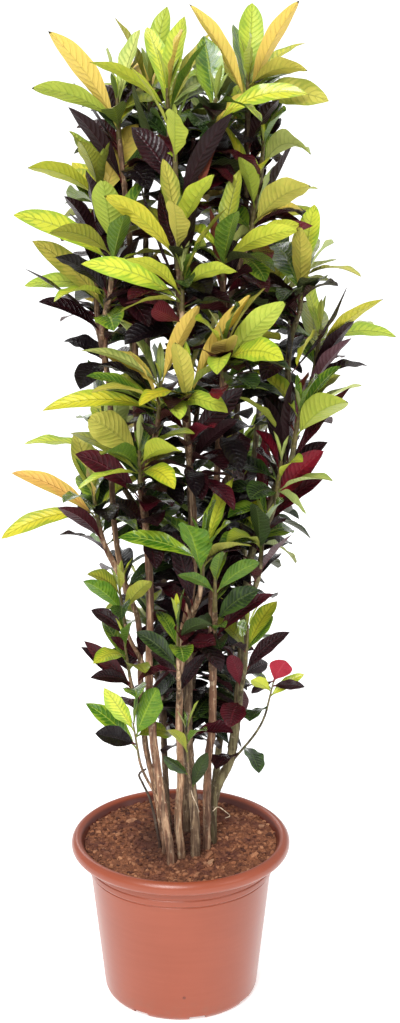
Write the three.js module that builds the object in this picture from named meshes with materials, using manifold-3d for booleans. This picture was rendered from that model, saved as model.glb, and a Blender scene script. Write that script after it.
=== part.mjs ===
// Potted croton: a branched, woody croton bush in a round plastic growing pot.
//
// Units are millimetres, +Z is up, and the origin is the centre of the pot's underside. +Y points
// away from someone who stands in front of the plant.
//
// Several woody canes stand in holes in the soil and fork as they climb. Each fork ends in a leafy
// head: a short green shoot with the young bright leaves of one season. The older dark leaves grow
// from the bark below it. A cane with its forks and old leaves is one solid, and so is each head.

import * as THREE from 'three';
import { mergeVertices } from 'three/addons/utils/BufferGeometryUtils.js';
import Module from 'manifold-3d';

const wasm = await Module();
wasm.setup();

// Driving dimensions.

const POT = {
  height: 270, rimRadius: 175, mouthRadius: 158, rimDepth: 24, neckRadius: 149, neckDepth: 55,
  shoulderRadius: 145, baseRadius: 123, baseEdge: 7, wall: 3, floor: 4, raised: 9, ringWidth: 11,
  padRadius: 22, sides: 32,
};
const DRAIN = { count: 6, radius: 7, ring: 84, sides: 10 };
const NOTCH = { count: 8, width: 27, height: 8, depth: 30, turn: 0.23 };
const SOIL = { rimTop: 257, crown: 1, gap: 0.3, sides: 32 };
const SOCKET = { depth: 66, gap: 0.4 };

const BARK_SIDES = 5;
const CANE_STEP = 105;
const SHOOT = { below: 30, above: 28, thick: 4, thin: 2.6, gap: 0.3, sides: 4 };
const BLADE = { keel: 2, stalk: 1.1, sunk: 2, neck: 0.1, shape: [[0.34, 0.88], [0.69, 0.88]] };
const CLEAR = 0.7;
const UP = new THREE.Vector3(0, 0, 1);
const WELD = { fine: 1e-4, coarse: 0.003 };

// The places of canes and leaves are noted as they are seen from one viewpoint in front of the plant:
// pixels across and down in the view, and a depth in millimetres behind the pot's axis.

const VIEW = {
  across: 31, back: 2950, height: 1739, pitch: THREE.MathUtils.degToRad(17.5), focal: 2034, centre: [200, 511.5],
};
const EYE = new THREE.Vector3(VIEW.across, -VIEW.back, VIEW.height);

function spot(px, py, depth) {
  const right = (px - VIEW.centre[0]) / VIEW.focal;
  const up = (VIEW.centre[1] - py) / VIEW.focal;
  const reach = (depth + VIEW.back) / (Math.cos(VIEW.pitch) + up * Math.sin(VIEW.pitch));
  const rise = reach * (up * Math.cos(VIEW.pitch) - Math.sin(VIEW.pitch));
  return new THREE.Vector3(VIEW.across + reach * right, depth, VIEW.height + rise);
}

// A small seeded random number, the same on every run.

function randomFrom(seed) {
  let state = seed >>> 0;
  return () => {
    state = (state + 0x6d2b79f5) >>> 0;
    let t = Math.imul(state ^ (state >>> 15), 1 | state);
    t = (t + Math.imul(t ^ (t >>> 7), 61 | t)) ^ t;
    return ((t ^ (t >>> 14)) >>> 0) / 4294967296;
  };
}

// Solids.

// Points closer together than the weld are made one. Triangles that this closes up are dropped, and
// so are two that it lays back to back.

function welded(geometry, weld) {
  const bare = geometry.clone();
  bare.deleteAttribute('normal');
  bare.deleteAttribute('uv');
  const merged = mergeVertices(bare, weld);
  const kept = new Map();
  for (let t = 0; t < merged.index.count; t += 3) {
    const [a, b, c] = merged.index.array.slice(t, t + 3);
    if (a === b || b === c || c === a) continue;
    const key = [a, b, c].sort((p, q) => p - q).join();
    if (kept.has(key)) kept.delete(key);
    else kept.set(key, [a, b, c]);
  }
  merged.setIndex([...kept.values()].flat());
  return merged;
}

function solidOf(geometry) {
  const closed = welded(geometry, WELD.fine);
  return new wasm.Manifold(new wasm.Mesh({
    numProp: 3,
    vertProperties: new Float32Array(closed.attributes.position.array),
    triVerts: new Uint32Array(closed.index.array),
  }));
}

function geometryOf(solid) {
  const mesh = solid.getMesh();
  const geometry = new THREE.BufferGeometry();
  geometry.setAttribute('position', new THREE.BufferAttribute(new Float32Array(mesh.vertProperties), 3));
  geometry.setIndex(Array.from(mesh.triVerts));
  const half = WELD.coarse / 2;
  const first = welded(geometry, WELD.coarse).translate(half, half, half);
  const closed = welded(first, WELD.coarse).translate(-half, -half, -half);
  closed.computeVertexNormals();
  return closed;
}

// A closed skin over rings of points that turn the same way, from the first ring to the last.
// A ring of one point closes the skin to a tip. Each quad is cut from its odd corners, so that a
// blade is cut alike on both faces.

function skin(rings) {
  const position = rings.flat().flatMap((point) => point.toArray());
  const index = [];
  let start = 0;
  for (let r = 0; r + 1 < rings.length; r++) {
    const count = rings[r].length;
    const next = start + count;
    for (let i = 0; i < count; i++) {
      const j = (i + 1) % count;
      if (rings[r + 1].length === 1) index.push(start + i, start + j, next);
      else if (i % 2 === 0) index.push(start + i, start + j, next + j, start + i, next + j, next + i);
      else index.push(start + i, start + j, next + i, start + j, next + j, next + i);
    }
    start = next;
  }
  const first = rings[0].length;
  for (let i = 1; i + 1 < first; i++) index.push(0, i + 1, i);
  const last = rings[rings.length - 1].length;
  for (let i = 1; i + 1 < last; i++) index.push(start, start + i, start + i + 1);
  const geometry = new THREE.BufferGeometry();
  geometry.setAttribute('position', new THREE.Float32BufferAttribute(position, 3));
  geometry.setIndex(index);
  return geometry;
}

// A tapered round rod through a list of points. Its rings stay square to the path and do not twist,
// and its last ring faces the heading that it is given.

function rod(points, radiusAt, sides, grow = 0, heading = null) {
  const rings = [];
  let across = new THREE.Vector3(1, 0, 0);
  points.forEach((point, i) => {
    const before = points[Math.max(0, i - 1)];
    const after = points[Math.min(points.length - 1, i + 1)];
    const facing = i === points.length - 1 && heading;
    const along = facing ? heading.clone() : after.clone().sub(before).normalize();
    const end = (i === 0 ? -1 : i === points.length - 1 ? 1 : 0) * grow;
    across = across.clone().addScaledVector(along, -across.dot(along)).normalize();
    const other = along.clone().cross(across);
    const radius = radiusAt(i / (points.length - 1)) + grow;
    const ring = [];
    for (let k = 0; k < sides; k++) {
      const turn = (2 * Math.PI * k) / sides;
      ring.push(point.clone().addScaledVector(across, radius * Math.cos(turn))
        .addScaledVector(other, radius * Math.sin(turn)).addScaledVector(along, end));
    }
    rings.push(ring);
  });
  return solidOf(skin(rings));
}

// A leaf: a stalk that widens to a blade with a keel on its underside, and ends in a point. It is
// given by its root, its tip, the arch of its midrib and the side that the blade spreads to. It can
// start part of the way along, and be grown all round.

function leafSolid(leaf, from = 0, grow = 0) {
  const chord = leaf.tip.clone().sub(leaf.root);
  const length = chord.length();
  const along = chord.clone().normalize();
  const lift = new THREE.Vector3(0, 0, 1);
  lift.addScaledVector(along, -lift.dot(along));
  const knee = leaf.root.clone().addScaledVector(chord, 0.5).addScaledVector(lift, leaf.arch * length * 2);
  const midrib = new THREE.QuadraticBezierCurve3(leaf.root, knee, leaf.tip);
  const ring = (u, half) => {
    const point = midrib.getPoint(u);
    const ahead = midrib.getTangent(u);
    const side = leaf.side.clone().addScaledVector(ahead, -leaf.side.dot(ahead)).normalize();
    const face = side.clone().cross(ahead).normalize();
    const edge = point.clone().addScaledVector(face, BLADE.keel / 2 + grow);
    return [
      edge.clone().addScaledVector(side, half + grow),
      point.clone().addScaledVector(face, -BLADE.keel / 2 - grow),
      edge.clone().addScaledVector(side, -half - grow),
    ];
  };
  const [first, share] = BLADE.shape[0];
  const rings = [ring(from, THREE.MathUtils.lerp(BLADE.stalk, (share * leaf.width) / 2, from / first))];
  for (const [u, part] of BLADE.shape) rings.push(ring(u, (part * leaf.width) / 2));
  rings.push([leaf.tip.clone().addScaledVector(along, grow)]);
  return solidOf(skin(rings));
}

// The pot: a turned shell with a rolled rim and a stepped neck. It stands on a ring at the foot and a
// pad in the middle; the floor between them is raised and has drain holes, and notches across the
// ring let the water out.

function potSolid() {
  const top = POT.height;
  const under = top - POT.rimDepth;
  const profile = [
    [0, 0], [POT.padRadius, 0], [POT.padRadius + 2, POT.raised],
    [POT.baseRadius - POT.ringWidth, POT.raised], [POT.baseRadius - POT.ringWidth, 0],
    [POT.baseRadius - POT.baseEdge, 0], [POT.baseRadius, POT.baseEdge],
    [POT.shoulderRadius, top - POT.neckDepth - 3], [POT.neckRadius, top - POT.neckDepth + 2],
    [POT.neckRadius + 2, under], [POT.rimRadius - 6, under], [POT.rimRadius, under + 8],
    [POT.rimRadius - 2, top - 5], [POT.rimRadius - 10, top], [POT.mouthRadius, top - 6],
    [POT.neckRadius - 1, under], [POT.neckRadius - POT.wall, under - 12],
    [POT.baseRadius - POT.wall, POT.raised + POT.floor], [0, POT.raised + POT.floor],
  ];
  const outline = profile.map(([r, z]) => new THREE.Vector2(r, z));
  const shell = new THREE.LatheGeometry(outline, POT.sides).rotateX(Math.PI / 2);
  let pot = solidOf(shell);
  for (let i = 0; i < DRAIN.count; i++) {
    const turn = (2 * Math.PI * (i + 0.5)) / DRAIN.count;
    const hole = new THREE.CylinderGeometry(DRAIN.radius, DRAIN.radius, 4 * POT.floor, DRAIN.sides);
    hole.rotateX(Math.PI / 2).translate(DRAIN.ring * Math.cos(turn), DRAIN.ring * Math.sin(turn), POT.raised);
    pot = pot.subtract(solidOf(hole));
  }
  for (let i = 0; i < NOTCH.count; i++) {
    const turn = NOTCH.turn - Math.PI / 2 + (2 * Math.PI * i) / NOTCH.count;
    const notch = new THREE.BoxGeometry(NOTCH.depth, NOTCH.width, 2 * NOTCH.height);
    notch.translate(POT.baseRadius, 0, 0).rotateZ(turn);
    pot = pot.subtract(solidOf(notch));
  }
  return pot;
}

// The soil fills the pot to just under the rim, out to the flare of the mouth, and rises a little
// around the canes.

function soilSolid() {
  const inside = POT.wall + SOIL.gap;
  const bottom = POT.raised + POT.floor + SOIL.gap;
  const under = POT.height - POT.rimDepth;
  const neck = POT.neckRadius - 1;
  const flare = (POT.mouthRadius - neck) / (POT.height - 6 - under);
  const outline = [
    [0, bottom], [POT.baseRadius - inside, bottom],
    [POT.neckRadius - inside, under - 12], [neck - SOIL.gap, under],
    [neck + flare * (SOIL.rimTop - under) - 1.5 * SOIL.gap, SOIL.rimTop],
    [POT.neckRadius * 0.55, SOIL.rimTop + SOIL.crown], [0, SOIL.rimTop + SOIL.crown],
  ].map(([r, z]) => new THREE.Vector2(r, z));
  return solidOf(new THREE.LatheGeometry(outline, SOIL.sides).rotateX(Math.PI / 2));
}

// Canes. Each has a foot in the soil (millimetres across and behind the pot's axis), a radius at the
// foot, and the places it passes through on its way to its highest head. Its other heads end forks.

const CANES = [
  { name: 'cane_left', foot: [-24, -50], thick: 4.6, via: [
    [156, 793, -42], [146, 748, -32], [141, 690, -20], [138, 620, -20], [126, 587, -25], [117, 547, -30],
    [111, 470, -30], [109, 385, -25], [98, 324, -20], [96, 260, -14]],
  heads: ['left_upper', 'left_mid', 'left_mid_upper', 'far_left'] },
  { name: 'cane_left_front', foot: [-14, -82], thick: 6.6, via: [
    [164, 811, -76], [154, 744, -68], [149, 680, -62], [150, 600, -56], [147, 540, -54], [140, 470, -46],
    [136, 400, -38], [134, 300, -28], [126, 200, -12]],
  heads: ['crown_left', 'left_low_mid', 'centre_left', 'lower_left', 'base_left', 'low_left'] },
  { name: 'cane_left_rear', foot: [-20, 22], thick: 5, via: [
    [166, 787, 34], [163, 700, 56], [165, 600, 80], [155, 480, 95], [148, 350, 95], [146, 220, 85]],
  heads: ['rear_crown_left', 'rear_left_upper', 'rear_left_mid', 'rear_left_low', 'rear_low_left'] },
  { name: 'cane_centre', foot: [2, -62], thick: 6, via: [
    [178, 823, -60], [181, 775, -57], [179, 732, -56], [180, 690, -56], [184, 627, -60], [192, 590, -66],
    [194, 530, -74], [188, 450, -80], [182, 380, -84], [180, 300, -86], [178, 220, -95]],
  heads: ['front_top', 'centre_upper', 'centre', 'centre_mid', 'centre_low', 'mid_low'] },
  { name: 'cane_middle', foot: [24, -58], thick: 7.4, via: [
    [195, 821, -52], [191, 775, -42], [188, 720, -26], [190, 640, -8], [192, 540, 0], [188, 430, 5],
    [180, 320, 0], [175, 209, -10], [173, 160, -15]],
  heads: ['crown_centre', 'crown_mid', 'base_mid', 'rear_centre_mid', 'rear_centre_low'] },
  { name: 'cane_right_front', foot: [42, -32], thick: 6.4, via: [
    [207, 799, -28], [208, 763, -24], [212, 726, -22], [213, 690, -20], [212, 635, -28], [212, 600, -36],
    [215, 520, -48], [219, 440, -58], [225, 350, -66], [234, 280, -66]],
  heads: ['right_upper', 'right_mid_upper', 'centre_right', 'low_centre'] },
  { name: 'cane_right', foot: [50, -6], thick: 8, via: [
    [212, 811, -2], [217, 787, 2], [229, 763, 4], [235, 732, 2], [240, 680, -4], [243, 640, -10],
    [250, 560, -16], [261, 525, -20], [280, 473, -28], [292, 421, -34], [288, 382, -34], [290, 343, -32]],
  heads: ['right', 'right_mid', 'right_fork', 'right_low_mid', 'right_low', 'low_right', 'pink'] },
  { name: 'cane_right_top', foot: [10, 28], thick: 6, via: [
    [185, 780, 40], [190, 700, 50], [205, 600, 50], [225, 500, 45], [238, 400, 35], [243, 300, 25], [246, 200, 8]],
  heads: ['crown_right', 'right_top', 'rear_crown_right', 'rear_right_upper'] },
  { name: 'cane_right_rear', foot: [42, 34], thick: 5.6, via: [
    [214, 790, 44], [222, 720, 62], [235, 620, 85], [248, 520, 100], [258, 420, 115]],
  heads: ['rear_right', 'rear_right_mid', 'rear_low_right'] },
];
const TWIG = {
  foot: [-33, -34], thick: 2, thin: 1.3, via: [[150, 799, -28], [143, 784, -26], [139, 774, -26], [146, 769, -28]],
};
const FORK = { rise: 62, slope: 0.9, thick: 5, step: 75, sides: 4 };

// Leafy heads. A leaf is noted by where its tip is seen and how wide it looks; near and far say
// whether it leans towards the viewpoint or away from it. Young leaves grow from the green shoot of
// the head, old ones from the bark below it. More of both are then added by rule. The low sprigs are
// slim: their fork and shoot are that share as thick as the others, and only noted leaves grow there.
// A short leaf has a length of its own, as a share of a full one.

const near = (px, py, wide) => ({ px, py, wide, toward: -1 });
const far = (px, py, wide) => ({ px, py, wide, toward: 1 });
const short = (px, py, wide, share) => ({ px, py, wide, toward: -1, share, arch: 0.05 });

const HEADS = {
  crown_right: { at: [248, 92, -10], young: [near(189, 4, 14), far(233, 24, 16), near(299, 1, 17),
    far(306, 43, 14), near(308, 71, 18), far(251, 36, 12), near(329, 103, 25)], old: [far(219, 67, 14),
    near(278, 100, 16), near(282, 118, 16)] },
  crown_mid: { at: [213, 118, -60], young: [{ px: 308, py: 94, wide: 17, toward: -1, arch: 0.16 },
    far(244, 82, 12), far(197, 58, 24), near(262, 122, 12)], old: [near(232, 140, 16), near(196, 140, 14)] },
  crown_centre: { at: [168, 108, -20], young: [far(167, 57, 22), far(210, 33, 13), near(89, 62, 14),
    far(147, 27, 20), near(183, 30, 13), far(207, 41, 14)], old: [near(150, 92, 16), near(190, 100, 14)] },
  crown_left: { at: [118, 118, 0], young: [near(48, 31, 21), near(32, 88, 19), far(106, 49, 14),
    far(141, 60, 16)], old: [near(81, 76, 18), near(84, 86, 22), near(68, 107, 16), near(113, 82, 16)] },
  front_top: { at: [175, 152, -110], young: [near(175, 112, 26), far(150, 112, 16), far(203, 108, 18)],
    old: [near(132, 128, 26), near(233, 112, 18), near(217, 143, 16)] },
  right_top: { at: [262, 160, -20], young: [{ px: 311, py: 155, wide: 25, toward: -1, arch: 0.2 },
    far(284, 112, 16), far(236, 124, 14)], old: [near(289, 141, 18), near(296, 172, 12), near(262, 186, 14)] },
  right_upper: { at: [254, 214, -60], young: [near(311, 186, 28), far(318, 189, 14), near(240, 157, 18),
    far(278, 165, 14)], old: [near(313, 227, 16), near(307, 218, 14), near(232, 240, 18)] },
  left_upper: { at: [100, 196, -10], young: [far(138, 124, 31), near(27, 168, 17), far(80, 142, 18),
    far(112, 140, 14)], old: [near(86, 170, 14), near(64, 196, 16), near(69, 213, 14), near(136, 178, 16)] },
  left_mid_upper: { at: [112, 260, -90], young: [near(99, 178, 28), near(13, 215, 22), near(49, 233, 20),
    far(127, 217, 20)], old: [near(55, 257, 16), near(84, 232, 14), near(140, 238, 14)] },
  centre_upper: { at: [178, 248, -140], young: [near(104, 196, 19), near(174, 203, 26), far(212, 175, 25),
    far(177, 184, 12), far(143, 203, 16)], old: [far(155, 180, 16), far(198, 177, 16), near(150, 262, 16)] },
  right_mid_upper: { at: [222, 260, -120], young: [far(234, 212, 24), near(299, 230, 19), far(226, 190, 12),
    near(252, 228, 16)], old: [far(208, 207, 14), near(252, 270, 16)] },
  left_mid: { at: [106, 298, -30], young: [near(32, 241, 22), far(22, 286, 12), near(54, 302, 15),
    far(80, 244, 16), near(128, 250, 16)], old: [near(38, 302, 12), near(32, 267, 12), near(90, 322, 14)] },
  centre: { at: [182, 290, -150], young: [near(81, 264, 21), near(125, 259, 17), near(238, 272, 18),
    near(119, 313, 12), near(206, 246, 14)], old: [near(160, 318, 18), near(204, 318, 18),
    near(182, 330, 16)] },
  right: { at: [302, 290, -30], young: [near(300, 226, 20), near(276, 243, 34), near(316, 237, 18),
    far(334, 243, 12), near(361, 277, 12)], old: [near(340, 280, 15), near(255, 280, 12), near(288, 322, 14)] },
  right_mid: { at: [318, 348, 0], young: [near(310, 301, 28), near(384, 299, 13), far(374, 326, 13),
    near(398, 338, 15), near(297, 366, 10)], old: [near(354, 321, 14), near(352, 338, 12), near(364, 363, 12),
    near(308, 372, 14)] },
  centre_right: { at: [224, 358, -140], young: [near(286, 302, 24), near(284, 360, 24), near(195, 320, 14),
    near(240, 306, 16)], old: [near(274, 427, 11), near(222, 400, 18), near(200, 388, 16)] },
  centre_left: { at: [160, 399, -120], young: [near(42, 411, 16), near(128, 352, 13), near(91, 393, 14),
    near(101, 354, 17), near(199, 304, 15), far(152, 348, 13), near(86, 376, 13), far(80, 351, 12)],
    old: [near(150, 436, 20), near(178, 428, 18)] },
  centre_mid: { at: [188, 402, -135], young: [near(175, 342, 20), near(252, 293, 14), far(205, 340, 16)],
    old: [near(237, 386, 20), near(214, 428, 20), near(190, 450, 18), near(238, 420, 16)] },
  left_low_mid: { at: [140, 468, -90], young: [near(89, 415, 33), near(71, 432, 16), near(101, 455, 24),
    near(182, 452, 26), near(195, 434, 14), near(78, 492, 14)], old: [near(75, 454, 22), near(146, 512, 22),
    near(166, 492, 18), near(112, 500, 18)] },
  far_left: { at: [96, 508, -30], young: [near(11, 473, 16), near(1, 539, 16), near(63, 503, 14),
    near(86, 476, 14), far(122, 470, 14)], old: [near(58, 507, 17), near(59, 535, 12), near(88, 540, 13),
    near(116, 536, 14)] },
  right_fork: { at: [297, 428, -80], young: [near(348, 402, 30), far(362, 386, 12), far(318, 378, 16)],
    old: [near(346, 383, 17), near(292, 380, 14), near(264, 396, 14), near(256, 452, 14), near(328, 442, 18)] },
  right_low_mid: { at: [279, 478, -80], young: [far(259, 440, 15), near(303, 462, 12), near(335, 482, 10),
    near(313, 510, 10)], old: [near(324, 451, 22), far(265, 426, 14), near(324, 478, 16), near(282, 440, 14)] },
  right_low: { at: [262, 545, -78], young: [near(256, 505, 22), near(297, 562, 12), far(284, 500, 14)],
    old: [near(241, 560, 20), near(288, 533, 22), near(262, 582, 14)] },
  centre_low: { at: [203, 566, -120], young: [near(186, 524, 31), near(231, 522, 11), near(119, 537, 18),
    near(216, 500, 10)], old: [near(174, 533, 18), near(244, 556, 16), near(172, 590, 16),
    near(216, 604, 14)] },
  low_left: { at: [122, 605, -60], slim: 0.7, young: [near(83, 581, 17), near(119, 566, 12),
    near(150, 580, 16)], old: [near(92, 610, 14), near(108, 634, 14), near(148, 622, 14)] },
  low_centre: { at: [215, 594, -105], young: [near(179, 572, 12), near(259, 561, 15), near(222, 556, 12)],
    old: [near(259, 590, 20), near(225, 628, 12), near(274, 594, 14), near(196, 624, 14)] },
  low_right: { at: [247, 642, -50], slim: 0.75, young: [near(277, 602, 17), near(241, 606, 15),
    far(262, 612, 12)], old: [near(290, 632, 14), near(265, 662, 14), near(228, 658, 14)] },
  lower_left: { at: [127, 658, -60], slim: 0.65, young: [near(103, 621, 14), near(93, 664, 16),
    near(132, 622, 14)], old: [near(92, 639, 14), near(81, 650, 14), near(91, 678, 12), near(140, 634, 16)] },
  mid_low: { at: [178, 640, -110], slim: 0.75, young: [near(156, 612, 13), near(212, 624, 16),
    near(180, 606, 12)], old: [near(136, 632, 16), near(152, 652, 12), near(206, 654, 12)] },
  base_left: { at: [136, 740, -75], slim: 0.5, young: [near(84, 702, 18), near(108, 684, 18),
    near(157, 682, 24), near(170, 734, 22), short(112, 699, 15, 0.5), short(97, 732, 19, 0.52)],
    old: [short(122, 752, 12, 0.3)] },
  base_mid: { at: [187, 745, -75], slim: 0.5, young: [near(166, 730, 12), near(207, 731, 12),
    near(188, 718, 10)], old: [short(172, 756, 12, 0.35), short(206, 756, 12, 0.35)] },
  pink: { at: [271, 692, -20], slim: 0.42, young: [short(284, 657, 27, 0.5), short(303, 674, 10, 0.38),
    short(251, 680, 12, 0.36), short(305, 687, 9, 0.36), short(252, 694, 8, 0.4)], old: [] },
  rear_crown_left: { at: [150, 100, 80], young: [], old: [] },
  rear_crown_right: { at: [225, 130, 90], young: [], old: [] },
  rear_left_upper: { at: [120, 230, 110], young: [], old: [] },
  rear_right_upper: { at: [232, 230, 120], young: [], old: [] },
  rear_right: { at: [270, 300, 130], young: [], old: [] },
  rear_left_mid: { at: [130, 330, 130], young: [], old: [] },
  rear_centre_mid: { at: [200, 360, 100], young: [], old: [] },
  rear_left_low: { at: [112, 450, 110], young: [], old: [] },
  rear_right_mid: { at: [240, 470, 150], young: [], old: [] },
  rear_centre_low: { at: [180, 540, 75], young: [], old: [] },
  rear_low_left: { at: [150, 620, 110], young: [], old: [] },
  rear_low_right: { at: [220, 640, 115], young: [], old: [] },
};

// Sizes of leaves in the upper bush, and their share of that size in the heads low on the canes.

const YOUNG = { length: 138, narrowest: 27, widest: 48, roots: [8, 54], count: 4, arch: 0.1 };
const OLD = { length: 108, narrowest: 27, widest: 44, roots: [12, 100], count: 2, arch: 0.12 };
const LOW = { below: 720, share: 0.72 };
const GOLDEN = THREE.MathUtils.degToRad(137.5);
const TRIES = 44;
const LOWEST = 400;

// The path of a cane from its foot to its highest head, and of a fork from the cane to its head.

function footPoint([x, y], deep) {
  const soilTop = SOIL.rimTop + SOIL.crown;
  return new THREE.Vector3(x, y, soilTop - deep);
}

function shootOf(head, beneath) {
  const centre = spot(...head.at);
  const lean = centre.clone().sub(beneath).normalize().add(new THREE.Vector3(0, 0, 1.2)).normalize();
  const start = centre.clone().addScaledVector(lean, -SHOOT.below);
  const end = centre.clone().addScaledVector(lean, SHOOT.above);
  return { centre, lean, start, end };
}

function sample(curve, step) {
  return curve.getSpacedPoints(Math.max(3, Math.ceil(curve.getLength() / step)));
}

function canePath(cane) {
  const places = cane.via.map((place) => spot(...place));
  const shoot = shootOf(HEADS[cane.heads[0]], places[places.length - 1]);
  const top = shoot.start.clone().addScaledVector(shoot.lean, -SHOOT.gap);
  const climb = new THREE.CatmullRomCurve3([footPoint(cane.foot, -12), ...places, top], false, 'centripetal');
  return { shoot, climb, points: [footPoint(cane.foot, SOCKET.depth), ...sample(climb, CANE_STEP)] };
}

function forkPath(path, head) {
  const centre = spot(...head.at);
  const steps = 200;
  let foot = path.climb.getPointAt(0.02);
  let heading = path.climb.getTangentAt(0.02);
  for (let i = steps - 4; i > 4; i--) {
    const point = path.climb.getPointAt(i / steps);
    const aside = Math.hypot(centre.x - point.x, centre.y - point.y);
    if (centre.z - SHOOT.below - point.z < FORK.rise + FORK.slope * aside) continue;
    foot = point;
    heading = path.climb.getTangentAt(i / steps);
    break;
  }
  const shoot = shootOf(head, foot);
  const top = shoot.start.clone().addScaledVector(shoot.lean, -SHOOT.gap);
  const reach = top.distanceTo(foot);
  const curve = new THREE.CubicBezierCurve3(foot, foot.clone().addScaledVector(heading, reach * 0.35),
    top.clone().addScaledVector(shoot.lean, -reach * 0.35), top);
  return { shoot, curve, points: sample(curve, FORK.step) };
}

// Leaves that are placed keep clear of each other, of the canes and of the pot. A leaf's own carrier
// and the leaves beside it on the same carrier are tested without their stalks, which meet there.

const placed = [];

function record(node, full, outer) {
  placed.push({ node, full, outer, box: full.boundingBox() });
}

function apart(a, b) {
  return [0, 1, 2].some((k) => a.min[k] > b.max[k] || b.min[k] > a.max[k]);
}

function isClear(node, leaf) {
  const full = leafSolid(leaf, 0, CLEAR);
  const outer = leafSolid(leaf, BLADE.neck, CLEAR);
  const box = full.boundingBox();
  const clear = placed.every((other) => {
    if (apart(box, other.box)) return true;
    const meeting = other.node === node ? outer.intersect(other.outer) : full.intersect(other.full);
    const empty = meeting.isEmpty();
    meeting.delete();
    return empty;
  });
  full.delete();
  outer.delete();
  return clear;
}

function sideOf(along, roll) {
  const level = along.clone().cross(UP);
  return level.normalize().applyAxisAngle(along, roll);
}

// The turn of a blade that makes it look as wide from the viewpoint as it was seen.

function seenSide(root, tip, share) {
  const along = tip.clone().sub(root).normalize();
  const sight = root.clone().lerp(tip, 0.5).sub(EYE).normalize();
  const toward = sight.clone().addScaledVector(along, -sight.dot(along));
  const steep = toward.length();
  toward.normalize();
  const flat = along.clone().cross(toward);
  const tilt = Math.asin(Math.min(1, Math.sqrt(Math.max(0, 1 - share * share)) / steep));
  const level = sideOf(along, 0);
  let best = null;
  for (const sign of [-1, 1]) {
    for (const turn of [-1, 1]) {
      const side = flat.clone().multiplyScalar(sign * Math.cos(tilt));
      side.addScaledVector(toward, turn * Math.sin(tilt));
      if (best === null || side.dot(level) > best.dot(level)) best = side;
    }
  }
  return best;
}

// The tip of a leaf seen at a place in the view: as deep as makes the leaf its true length.

function tipAt(root, mark, length, toward) {
  let low = 0;
  let high = length;
  const beside = spot(mark.px, mark.py, root.y);
  if (beside.distanceTo(root) >= length) return spot(mark.px, mark.py, root.y + toward * 0.15 * length);
  for (let i = 0; i < 24; i++) {
    const mid = (low + high) / 2;
    if (spot(mark.px, mark.py, root.y + toward * mid).distanceTo(root) < length) low = mid;
    else high = mid;
  }
  return spot(mark.px, mark.py, root.y + toward * low);
}

function notedLeaf(seat, mark, kind, share, attempt, random) {
  const root = seat.axis;
  const scale = spot(mark.px + 1, mark.py, root.y).distanceTo(spot(mark.px, mark.py, root.y));
  const wide = mark.wide * scale;
  const width = THREE.MathUtils.clamp(wide * 1.06, kind.narrowest * (mark.share ?? share), kind.widest);
  const length = kind.length * (mark.share ?? share) * (1 - 0.012 * attempt + 0.06 * random());
  const toward = attempt % 4 === 3 ? -mark.toward : mark.toward;
  const astray = { px: mark.px + attempt * (random() - 0.5), py: mark.py + attempt * (random() - 0.5) };
  const tip = tipAt(root, astray, length, toward);
  const along = tip.clone().sub(root).normalize();
  const side = seenSide(root, tip, Math.min(1, wide / width));
  side.applyAxisAngle(along, (random() - 0.5) * 0.12 * attempt);
  const arch = (mark.arch ?? kind.arch) * (1 - 0.04 * attempt);
  return sunk({ tip, width, side, arch }, seat);
}

function ruleLeaf(seat, rank, count, kind, share, start, rear, attempt, random) {
  const root = seat.axis;
  const age = rank / Math.max(1, count - 1);
  let azimuth = start + rank * GOLDEN + (random() - 0.5) * 0.5 * attempt;
  if (rear && Math.sin(azimuth) < -0.25) azimuth = -azimuth;
  const rise = kind === YOUNG ? 1.15 - 0.85 * age : 0.45 - 0.75 * age;
  const climb = rise + (random() - 0.5) * (0.25 + 0.12 * attempt);
  const length = kind.length * share * (0.82 + 0.22 * age + 0.1 * random()) * (1 - 0.02 * attempt);
  const along = new THREE.Vector3(Math.cos(climb), 0, Math.sin(climb)).applyAxisAngle(UP, azimuth);
  const tip = root.clone().addScaledVector(along, length);
  tip.z = Math.max(tip.z, LOWEST);
  const width = THREE.MathUtils.lerp(kind.narrowest + 3, kind.widest - 6, random()) * share;
  const side = sideOf(along, (random() - 0.5) * 0.7);
  return sunk({ tip, width, side, arch: kind.arch * (0.7 + 0.6 * random()) }, seat);
}

// Tries an arrangement of a leaf until it is clear, and gives it up when none is.

function place(node, arrange) {
  for (let attempt = 0; attempt < TRIES; attempt++) {
    const leaf = arrange(attempt);
    if (!isClear(node, leaf)) continue;
    const full = leafSolid(leaf);
    record(node, full, leafSolid(leaf, BLADE.neck));
    return full;
  }
  return null;
}

// The parts of a node fused into one solid: any scrap or sealed hollow that the joining leaves goes.

function fuse(solids) {
  const whole = solids.reduce((sum, solid) => sum.add(solid));
  return whole.decompose().reduce((best, body) => (body.volume() > best.volume() ? body : best));
}

// The plant is built in this order: wood and shoots, then the noted leaves, then those by rule.

const pot = potSolid();
let soil = soilSolid();
const wood = new Map();
const shoots = new Map();
const carriers = [];

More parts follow.
